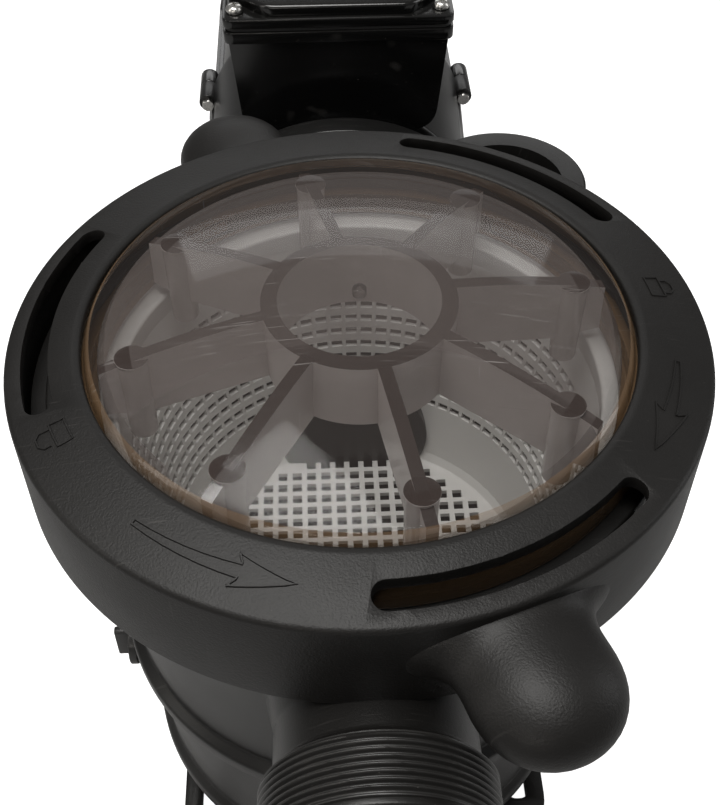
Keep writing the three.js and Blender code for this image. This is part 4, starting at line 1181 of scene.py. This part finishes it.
# %% Port thread
def thread(root, crest, front, back, pitch, around=120, per_turn=12):
    """A fine screw thread: the surface of a cylinder raised along a helix, faded out at both ends."""
    rows = int((back - front) / pitch * per_turn)
    verts = []
    for s in range(rows + 1):
        y = front + (back - front) * s / rows
        fade = min(1.0, (y - front) / (pitch * 0.8), (back - y) / (pitch * 0.8))
        for k in range(around):
            phase = (y / pitch - k / around) % 1.0
            tooth = max(0.0, 1 - abs(phase - 0.5) / 0.42)
            tooth = min(1.0, tooth * 1.25)
            r = root - 0.15 + (crest - root + 0.15) * tooth * max(0.0, fade)
            a = 2 * math.pi * k / around
            verts.append((r * math.cos(a), y, SUCTION_Z + r * math.sin(a)))
    faces = []
    for s in range(rows):
        for k in range(around):
            n = (k + 1) % around
            faces.append((s * around + k, s * around + n, (s + 1) * around + n, (s + 1) * around + k))
    for ring, y in ((0, front), (rows, back)):
        start = len(verts)
        verts += [(30.5 * math.cos(2 * math.pi * k / around), y,
            SUCTION_Z + 30.5 * math.sin(2 * math.pi * k / around))
                  for k in range(around)]
        for k in range(around):
            n = (k + 1) % around
            faces.append((ring * around + k, ring * around + n, start + n, start + k))
    inner = len(verts) - 2 * around
    faces += [(inner + k, inner + (k + 1) % around, inner + around + (k + 1) % around, inner + around + k)
        for k in range(around)]
    return mesh_object("port_thread", verts, faces)


place(pot, "housing", ["strainer_pot"], body_plastic, "body_plastic", 35)
port_thread = thread(36.1, 37.5, THREAD_FRONT, THREAD_BACK, 2.309)
place(port_thread, "housing", ["strainer_pot"], port_plastic, "body_plastic", 60)

# %% [markdown]
# ## Volute and discharge port
# The volute is the snail-shaped casing round the impeller. Its outline grows steadily over one
# turn, and the discharge stands up from its widest place. The outline is raised along the shaft,
# its edges are broken, and the flange, ears and stubs are joined on.

# %% Volute casing
VOLUTE_START, VOLUTE_GROWTH = 70.0, 26.0
VOLUTE_FRONT, VOLUTE_BACK, FLANGE_FACE = 118.0, 176.0, 186.0
FLANGE_RADIUS = 79.0
HOUSING_BOLTS = (40, 140, 220, 320)
HOUSING_BOLT_CIRCLE = 83.0


def round_shaft(radius, degrees):
    x, z = polar(radius, degrees)
    return (x, z + SHAFT_Z)


def disc_along(name, radius, front, back, x=0.0, z=SHAFT_Z, segments=64, edge=0.6):
    outline = rounded([(0, front), (radius, front, edge), (radius, back, edge), (0, back)], edge, 3,
        closed=False)
    return turned(name, outline, "Y", (x, z), segments, closed=False)


spiral_steps = 120
spiral = [round_shaft(VOLUTE_START + VOLUTE_GROWTH * i / spiral_steps, 360 * i / spiral_steps)
          for i in range(spiral_steps + 1)]
volute = soften(plate("volute_moulding", spiral, VOLUTE_FRONT, VOLUTE_BACK, "Y"), 7.0, 5, 50)
stub = turned("stub", rounded([(0, 125), (31, 125), (31, 183, 2), (37.3, 186, 1.5),
    (37.3, DISCHARGE_TOP, 1.4), (0, DISCHARGE_TOP)],
                              0.6, 4, closed=False), "Z", DISCHARGE, 96, closed=False)
ears = [disc_along("ear", 9.0, VOLUTE_BACK - 1, FLANGE_FACE, *round_shaft(HOUSING_BOLT_CIRCLE, a))
    for a in HOUSING_BOLTS]
add(volute, stub, turned("boss", [(0, 29.1), (11, 29.1), (12, 52), (0, 52)], "Z", (0, 150), 48,
    closed=False),
    disc_along("neck", 46.0, 110.3, VOLUTE_FRONT + 8, segments=96), *ears,
    disc_along("flange", FLANGE_RADIUS, VOLUTE_BACK - 2.4, FLANGE_FACE - 0.02, segments=96))
cut(volute,
    turned("discharge_bore", [(0, 128), (26, 128), (26, 197), (27.4, 206), (0, 206)], "Z", DISCHARGE, 96,
        closed=False),
    turned("inside", [(0, 124), (64, 124), (64, 168), (68, 169), (68, 190), (0, 190)], "Y", (0, SHAFT_Z),
        96, closed=False),
    turned("inlet", [(0, 108), (25, 108), (25, 128), (0, 128)], "Y", (0, SHAFT_Z), 64, closed=False),
    turned("plug_bore", [(0, 26), (6.9, 26), (6.9, 62), (0, 62)], "Z", (0, 150), 48, closed=False))
place(volute, "housing", ["volute_casing"], body_plastic, "body_plastic", 35)

# %% [markdown]
# ## Motor bracket
# A cast lantern joins the wet end to the motor. Its windows let leaked water fall away from the
# shaft and let the air reach it. The shape is turned, its windows are cut and its ears carry the
# screws that hold the motor's shell.

# %% Front bracket
BRACKET_SCREWS = (18, 162, 230, 310)
BRACKET_SCREW_CIRCLE = 76.4
NECK_RADIUS, NECK_END = 57.0, 219.6
BRACKET_BACK = high("motor_front_bracket").y
bracket_outline = rounded([
    (52, 194.3, 0.4), (76.4, 194.3, 0.4), (76.4, 186.3, 0.3), (78.8, 186.3, 0.8), (78.8, 198, 1.5),
    (NECK_RADIUS, 200.5, 3),
    (NECK_RADIUS, NECK_END, 3), (70, NECK_END + 2.4, 2), (74.3, 309, 1.0), (74.3, BRACKET_BACK, 0.8),
    (68, BRACKET_BACK, 0.5),
    (68, 307, 0.6), (20.3, 307, 0.5), (20.3, 292, 0.4), (14, 292, 0.4), (14, 287, 1.0), (61, 283, 5),
    (62, 231, 4), (52, 225, 2)],
    0.8, 4)
bracket = turned("motor_front_bracket_casting", bracket_outline, "Y", (0, SHAFT_Z), 128)
add(bracket, *[disc_along("ear", 5.1, 298, BRACKET_BACK, *round_shaft(BRACKET_SCREW_CIRCLE, a), 40)
    for a in BRACKET_SCREWS],
    *[disc_along("ear", 8.9, 186.4, 198, *round_shaft(HOUSING_BOLT_CIRCLE, a), 48) for a in HOUSING_BOLTS])
cut(bracket,
    plate("side_window", rounded_box(-90, 90, SHAFT_Z - 18, SHAFT_Z + 18, 7), 230, 266, "Y"),
    plate("foot_window", rounded_box(-18, 18, 20, SHAFT_Z, 6), 230, 266, "Y"),
    disc_along("pocket", 76.3, 186, 194.2, segments=96, edge=0.2),
    *[disc_along("notch", 4.3, 268, 298, *round_shaft(BRACKET_SCREW_CIRCLE, a), 40, 0.1)
        for a in BRACKET_SCREWS])
soften(bracket, 0.7, 2, 55)
place(bracket, "housing", ["motor_front_bracket"], bracket_paint, "bracket_paint", 35)

# %% [markdown]
# ## Motor
# The shell is rolled steel under gloss paint, with fine cooling ribs along it. Behind it come the
# rear shield, the fan and the fan cover with its radial slots. One rib, one blade and one slot are
# drawn and set out round the shaft.

# %% Shell
rib_count = 40
shell_tube = turned("motor_shell_painted", rounded([(68.4, SHELL_FRONT),
    (SHELL_RADIUS - 1.6, SHELL_FRONT, 0.6),
                                                    (SHELL_RADIUS - 1.6, SHELL_BACK, 0.6),
                                                    (68.4, SHELL_BACK)], 0.4, 3),
                    "Y", (0, SHAFT_Z), 160)
shell_box = rounded([(-1.0, 0), (1.0, 0), (0.7, 2.9, 0.5), (-0.7, 2.9, 0.5)], 0.1, 2)
rib_bar = plate("rib_bar", [(x, SHELL_RADIUS - 2.95 + z) for x, z in shell_box], SHELL_FRONT + 3,
    SHELL_BACK - 3, "Y")
bar_places = [((0, 0, SHAFT_Z), (0, 360 / rib_count * (i + 0.5), 0)) for i in range(rib_count)
              if 62 < abs((360 / rib_count * (i + 0.5) + 180) % 360 - 180) < 140]
shell_bars = set_out("motor_shell_ribs", rib_bar, bar_places, shell_paint)
lugs = [cut(disc_along("lug", 5.1, SHELL_FRONT, 326, *round_shaft(BRACKET_SCREW_CIRCLE, a), 40),
            disc_along("bore", SHELL_RADIUS - 3, 300, 340, segments=128, edge=0.1)) for a in BRACKET_SCREWS]
add(shell_tube, *lugs)
gather(shell_tube, shell_bars)
place(shell_tube, "housing", ["motor_shell"], shell_paint, "shell_paint", 35)

# %% Rear shield, fan and cover
shield = turned("motor_rear_shield_casting", rounded([
    (SHELL_RADIUS - 0.2, SHELL_BACK + 0.3, 0.8), (SHELL_RADIUS - 0.2, 428, 1.5), (66, 431, 1.0),
    (10.5, 431, 0.4), (10.5, 427.6, 0.3),
    (17.8, 427.6, 0.3), (17.8, 415.6, 0.3), (23, 415.6, 0.5), (23, 422, 1.0), (62, 422, 1.5),
    (65, SHELL_BACK + 0.3, 0.6)], 0.6, 3),
    "Y", (0, SHAFT_Z), 128)
place(shield, "housing", ["motor_rear_shield"], bracket_paint, "bracket_paint", 35)

blade = plate("blade", rounded([(12.4, -1.1), (54.6, -1.1), (54.6, 1.1), (12.4, 1.1)], 0.4, 2), 438.2,
    454.8, "Y")
blade_places = [((0, 0, SHAFT_Z), (0, 360 / 7 * i, 0)) for i in range(7)]
fan = set_out("cooling_fan_moulding", blade, blade_places, fan_plastic)
gather(fan, turned("hub", rounded([(7.7, 436), (13, 436), (48, 436.2), (48, 439, 0.8), (13.2, 439.4, 1.5),
    (12.6, 454, 0.8), (7.7, 454)],
                                  0.4, 3), "Y", (0, SHAFT_Z), 64))
place(fan, "rotor", ["cooling_fan"], fan_plastic, "fan_plastic", 35)

cover = turned("fan_cover_moulding", rounded([
    (71.6, 431.4, 0.5), (71.6, MOTOR_END - 6.2, 2.0), (65.8, MOTOR_END, 2.0), (0, MOTOR_END),
    (0, MOTOR_END - 2.4),
    (64.6, MOTOR_END - 2.4, 1.0), (69.3, MOTOR_END - 7.2, 1.0), (69.3, 431.4, 0.4)], 0.6, 4, closed=False),
        "Y", (0, SHAFT_Z), 128,
    closed=False)
slot_cutter = plate("vent", rounded([(20, -2.1), (56, -2.9), (56, 2.9), (20, 2.1)], 2.0, 4), MOTOR_END - 12,
    MOTOR_END + 4, "Y")
vents = set_out("vents", slot_cutter, [((0, 0, SHAFT_Z), (0, 15 * i, 0)) for i in range(24)], fan_plastic)
cut(cover, vents)
place(cover, "housing", ["fan_cover"], fan_plastic, "fan_plastic", 35)

# %% Motor foot and base plate
foot = plate("motor_foot_moulding", rounded([(-62, 0), (62, 0), (62, 8, 2), (18, 12, 6), (18, 36, 8),
    (48, 62, 4), (48, 80), (-48, 80),
                                             (-48, 62, 4), (-18, 36, 8), (-18, 12, 6), (-62, 8, 2)], 1.0,
                                                 4), 344, 384, "Y")
cut(foot, disc_along("saddle", SHELL_RADIUS + 0.3, 320, 400, segments=128, edge=0.1))
soften(foot, 0.8, 2, 50)
place(foot, "housing", ["motor_foot"], body_plastic, "body_plastic", 35)

base = plate("pump_base_moulding", rounded_box(-82, 82, -72, 206, 16, 8), 0, 8)
add(base, turned("collar", [(66, 6), (77, 6), (77, 11.7), (66, 11.7)], segments=96),
    plate("saddle_block", rounded_box(-46, 46, VOLUTE_BACK + 0.3, FLANGE_FACE - 0.3, 0.6, 2), 6, 60))
cut(base, disc_along("saddle", FLANGE_RADIUS + 0.3, 160, 200, segments=128, edge=0.1),
    *[plate("slot", rounded_box(x - 4.5, x + 4.5, y - 8, y + 8, 4.4, 8), -2, 12) for x in (-70, 70)
        for y in (-50, 190)])
soften(base, 1.0, 2, 50)
place(base, "housing", ["pump_base"], body_plastic, "body_plastic", 35)

# %% [markdown]
# ## Terminal box
# A glossy black box sits on the bracket. Its front narrows downwards with round lower corners, its
# lip stands proud, and the cover has a raised middle whose corners are cut back to seat four screws.

# %% Box
BOX_FRONT, BOX_BACK, BOX_HALF, BOX_LIP, BOX_FOOT = 216.0, 326.0, 52.5, 240.0, 183.0


def box_face(inset):
    return rounded([(-BOX_HALF + inset, BOX_LIP + (1 if inset else 0)),
        (-47.5 + inset, BOX_FOOT + inset, 13 - inset),
                    (47.5 - inset, BOX_FOOT + inset, 13 - inset),
                    (BOX_HALF - inset, BOX_LIP + (1 if inset else 0))], 0.05, 8)


def over_motor(name, more):
    return turned(name, [(0, 200), (NECK_RADIUS + 0.8 + more, 200),
        (NECK_RADIUS + 0.8 + more, NECK_END - 0.7),
                         (70.8 + more, NECK_END - 0.5), (75.3 + more, 313), (75.3 + more, 345), (0, 345)],
                             "Y", (0, SHAFT_Z), 96,
                  closed=False)


terminal_box = soften(plate("terminal_box_moulding", box_face(0), BOX_FRONT, BOX_BACK, "Y"), 1.8, 3, 50)
add(terminal_box, soften(plate("lip", rounded_box(-54.4, 54.4, BOX_FRONT - 2, BOX_BACK + 2, 5), 234,
    BOX_LIP), 0.7, 2, 50))
cavity = cut(plate("cavity", box_face(3), BOX_FRONT + 3, BOX_BACK - 3, "Y"), over_motor("above", 3))
cut(terminal_box, cavity, over_motor("motor", 0),
    disc_along("gland_bore", 7.3, 318, 330, -24, 220, 48, 0.1))
place(terminal_box, "housing", ["terminal_box"], box_plastic, "box_plastic", 35)

# %% Cover, gasket line and screws
box_cover = soften(plate("terminal_box_cover_moulding",
    rounded_box(-54.4, 54.4, BOX_FRONT - 2, BOX_BACK + 2, 5), 241.8, 246.5), 0.8, 2, 50)
edge_x, edge_front, edge_back, chamfer = 52.0, BOX_FRONT + 0.5, BOX_BACK - 0.5, 18.0
raised = soften(plate("raised", rounded([
    (-edge_x + chamfer, edge_front), (edge_x - chamfer, edge_front), (edge_x, edge_front + chamfer),
    (edge_x, edge_back - chamfer),
    (edge_x - chamfer, edge_back), (-edge_x + chamfer, edge_back), (-edge_x, edge_back - chamfer),
    (-edge_x, edge_front + chamfer)],
    4.0, 4), 245, high("terminal_box_cover").z), 1.6, 3, 50)
add(box_cover, raised)
cut(box_cover, plate("hollow", rounded_box(-40, 40, BOX_FRONT + 16, BOX_BACK - 16, 4), 238, 249.5))
place(box_cover, "housing", ["terminal_box_cover"], box_plastic, "box_plastic", 35)


def cross_screw():
    """A pan head with a cross recess and its shank, drawn about its own axis."""
    head = turned("screw", rounded([(0, 246.8), (4.1, 246.8, 0.4), (4.1, 248.4, 0.8), (3.0, 249.9, 1.6),
        (0, 250.4)], 0.5, 4, closed=False),
                  segments=40, closed=False)
    cut(head, plate("slot_x", rounded_box(-2.3, 2.3, -0.5, 0.5, 0.2, 2), 249.0, 252),
        plate("slot_y", rounded_box(-0.5, 0.5, -2.3, 2.3, 0.2, 2), 249.0, 252))
    shank = turned("shank", [(0, 228.2), (1.5, 228.2), (1.9, 230), (1.9, 247.2), (0, 247.2)], segments=24,
        closed=False)
    return add(head, shank)


screw_places = [((x, y, 0), (0, 0, turn)) for (x, y), turn in
                zip([(-48.5, 222.5), (48.5, 222.5), (-48.5, 319.5), (48.5, 319.5)], (18, 52, 7, 71))]
cover_screws = set_out("cover_screws", cross_screw(), screw_places, steel)
place(cover_screws, "housing", [f"cover_screw_{i}" for i in (1, 2, 3, 4)], steel, "fastener_steel", 35)

# %% [markdown]
# ## Bolts, plugs and the gland
# Hexagon bolts hold the flanges. One bolt of each kind is drawn along the shaft's direction, with a
# chamfered head and a washer face, and set out on its bolt circle. Each drain plug rides on its own
# body because it unscrews.

# %% Hexagon bolts
def hex_bolt(seat, tip, radius, head_radius, head_height, side):
    """A bolt along Y about its own axis. The head lies on the -Y side of the seat when side is -1."""
    top = seat + side * head_height
    corners = [polar(head_radius, 60 * i + 30) for i in range(6)]
    head = plate("bolt", corners, min(seat, top), max(seat, top), "Y")
    crown = turned("crown", [(0, seat - side * 1), (head_radius + 1, seat - side * 1),
        (head_radius + 0.4, top - side * 0.9),
                             (head_radius * 0.86, top), (0, top)], "Y", (0, 0), 48, closed=False)
    combine(head, [crown], "INTERSECT")
    shank = turned("shank", [(0, seat + side * 0.6), (radius, seat + side * 0.6),
        (radius, tip + side * 0.6), (radius - 0.6, tip), (0, tip)],
                   "Y", (0, 0), 24, closed=False)
    return add(head, shank)


def bolt_circle(radius, angles):
    return [((*polar(radius, a)[:1], 0, SHAFT_Z + polar(radius, a)[1]), (0, 11 * i, 0)) for i,
        a in enumerate(angles)]


for name, part, circle, stem in (
        ("housing_bolts", hex_bolt(198.3, 178, 3.8, 7.2, 5.4, 1),
            bolt_circle(HOUSING_BOLT_CIRCLE, HOUSING_BOLTS), "housing_bolt_"),
        ("bracket_screws", hex_bolt(297.7, 322, 1.8, 3.7, 3, -1),
            bolt_circle(BRACKET_SCREW_CIRCLE, BRACKET_SCREWS), "bracket_screw_"),
        ("pot_joint_bolts", hex_bolt(103.7, 116, 2.8, 5.2, 4, -1), bolt_circle(38, (45, 135, 225, 315)),
            "pot_joint_bolt_")):
    bolts = set_out(name, part, circle, steel)
    place(bolts, "housing", [f"{stem}{i}" for i in (1, 2, 3, 4)], steel, "fastener_steel", 35)


# %% Drain plugs
def drain_plug(name):
    """A wing-headed plug along -Z with its shoulder at the origin."""
    plug = turned(name, rounded([(0, 12.8), (5.4, 12.8, 0.6), (6.4, 11.6), (6.4, -2.6), (10.8, -2.6, 0.6),
        (10.8, -6.4, 0.8), (0, -6.4)],
                                0.4, 3, closed=False), segments=64, closed=False)
    wing = soften(plate("wing", rounded_box(-9.3, 9.3, -2, 2, 1.9, 5), -12.9, -5.8), 0.7, 2, 50)
    return add(plug, wing)


def carried(piece, matrix):
    piece.data.transform(matrix)
    return piece


to_pot = Matrix.Translation(Vector((-97, 0, 62)) * MM) @ Matrix.Rotation(math.pi / 2, 4, "Y")
to_volute = Matrix.Translation(Vector((0, 150, 29)) * MM)
place(carried(drain_plug("pot_drain_plug_moulding"), to_pot), "pot_drain", ["pot_drain_plug"], port_plastic,
    "body_plastic", 35)
place(carried(drain_plug("volute_drain_plug_moulding"), to_volute), "volute_drain", ["volute_drain_plug"],
    port_plastic, "body_plastic", 35)
seal_outline = rounded([(7.2, -2.2), (10.2, -2.2), (10.2, -0.3), (7.2, -0.3)], 0.9, 4)
place(carried(turned("pot_drain_seal", seal_outline, segments=64), to_pot), "pot_drain_carrier",
    ["pot_drain_o_ring"], rubber, "seal_rubber", 60)
place(carried(turned("volute_drain_seal", seal_outline, segments=64), to_volute), "volute_drain_carrier",
    ["volute_drain_o_ring"], rubber,
      "seal_rubber", 60)

# %% Gland
GLAND = (-24.0, 220.0)
hexagon = [(GLAND[0] + polar(10.3, 60 * i)[0], GLAND[1] + polar(10.3, 60 * i)[1]) for i in range(6)]
gland = soften(plate("gland_body_moulding", hexagon, BOX_BACK + 0.3, 331, "Y"), 0.5, 2, 50)
add(gland, turned("barrel", [(5, 321), (6.9, 321), (6.9, 327), (8, 327), (8, 339), (5, 339)], "Y", GLAND,
    48))
cut(gland, disc_along("bore", 5.0, 318, 345, *GLAND, 48, 0.1))
place(gland, "housing", ["gland_body"], nylon, "gland_plastic", 35)
nut = turned("gland_nut_moulding", rounded([(8.3, 332), (10.3, 332, 0.5), (10.3, 340, 1.2), (7, 345, 1.5),
    (4.1, 345, 0.5), (4.1, 342.6),
                                            (8.3, 340)], 0.3, 3), "Y", GLAND, 64)
flute = plate("flute", [(9.9, -0.7), (11.2, -0.9), (11.2, 0.9), (9.9, 0.7)], 333, 341, "Y")
grips = set_out("grips", flute, [((GLAND[0], 0, GLAND[1]), (0, 30 * i, 0)) for i in range(12)], nylon)
cut(nut, grips)
place(nut, "housing", ["gland_nut"], nylon, "gland_plastic", 35)

# %% Shaft and slinger
shaft = turned("shaft_turned", rounded([(0, 136), (6, 136, 0.5), (6, 158.6), (8.3, 158.6, 0.4),
    (8.3, 306, 0.5), (11, 310, 0.5), (11, 410, 0.5),
                                        (7.3, 412), (7.3, 456, 0.6), (0, 456)], 0.3, 3, closed=False), "Y",
                                            (0, SHAFT_Z), 64, closed=False)
place(shaft, "rotor", ["shaft"], ground_steel, "bearing_steel", 35)
slinger = turned("water_slinger_moulding", rounded([(8.6, 240), (17, 240, 0.8), (16.4, 241.6), (12, 244),
    (8.6, 244)], 0.4, 3), "Y",
                 (0, SHAFT_Z), 64)
place(slinger, "rotor", ["water_slinger"], rubber, "seal_rubber", 40)

# %% [markdown]
# ## What stays as packed
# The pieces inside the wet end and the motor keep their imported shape, since they show only when the
# pump is taken apart. Each one gets the finish of its real material.

# %% Finishes of the inner pieces
inner_finishes = {
    "lid_o_ring": rubber, "pot_joint_o_ring": rubber, "housing_o_ring": rubber, "seal_seat_cup": rubber,
    "terminal_box_gasket": rubber,
    "gland_seal": rubber, "diffuser": wet_plastic, "impeller": wet_plastic, "seal_plate": body_plastic,
    "seal_ceramic_seat": ceramic,
    "seal_rotating_head": carbon, "seal_spring": steel, "stator_core": core_steel, "rotor_core": core_steel,
    "winding_front": copper,
    "winding_rear": copper, "front_bearing_outer_ring": ground_steel,
    "front_bearing_inner_ring": ground_steel,
    "rear_bearing_outer_ring": ground_steel, "rear_bearing_inner_ring": ground_steel,
    "terminal_block": ivory, "capacitor": ivory}
for node, material in inner_finishes.items():
    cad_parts[node].data.materials.clear()
    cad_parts[node].data.materials.append(material)
left_over = [n for n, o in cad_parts.items() if not o.hide_render and n not in inner_finishes]
print("shown as packed:", len(inner_finishes), "without a finish:", left_over)

# %% [markdown]
# ## Floor
# The floor is a wide sheet at the foot of the base. It glows white for the camera's own rays only:
# to the pump it is a mid grey, so it mirrors less in the black plastic than a white sheet would.

# %% Floor
sheet = bpy.data.meshes.new("floor")
sheet.from_pydata([(-6, -6, -0.0005), (6, -6, -0.0005), (6, 6, -0.0005), (-6, 6, -0.0005)], [],
    [(0, 1, 2, 3)])
floor = bpy.data.objects.new("floor", sheet)
scene.collection.objects.link(floor)
floor_finish = bpy.data.materials.new("studio_floor")
floor_finish.use_nodes = True
floor_finish.node_tree.nodes["Principled BSDF"].inputs["Base Color"].default_value = (0.5, 0.5, 0.5, 1)
floor_finish.node_tree.nodes["Principled BSDF"].inputs["Roughness"].default_value = 0.9
floor_finish.node_tree.nodes["Principled BSDF"].inputs["Emission Color"].default_value = (1, 1, 1, 1)
sight_ray = floor_finish.node_tree.nodes.new("ShaderNodeLightPath").outputs["Is Camera Ray"]
floor_finish.node_tree.links.new(sight_ray,
    floor_finish.node_tree.nodes["Principled BSDF"].inputs["Emission Strength"])
sheet.materials.append(floor_finish)
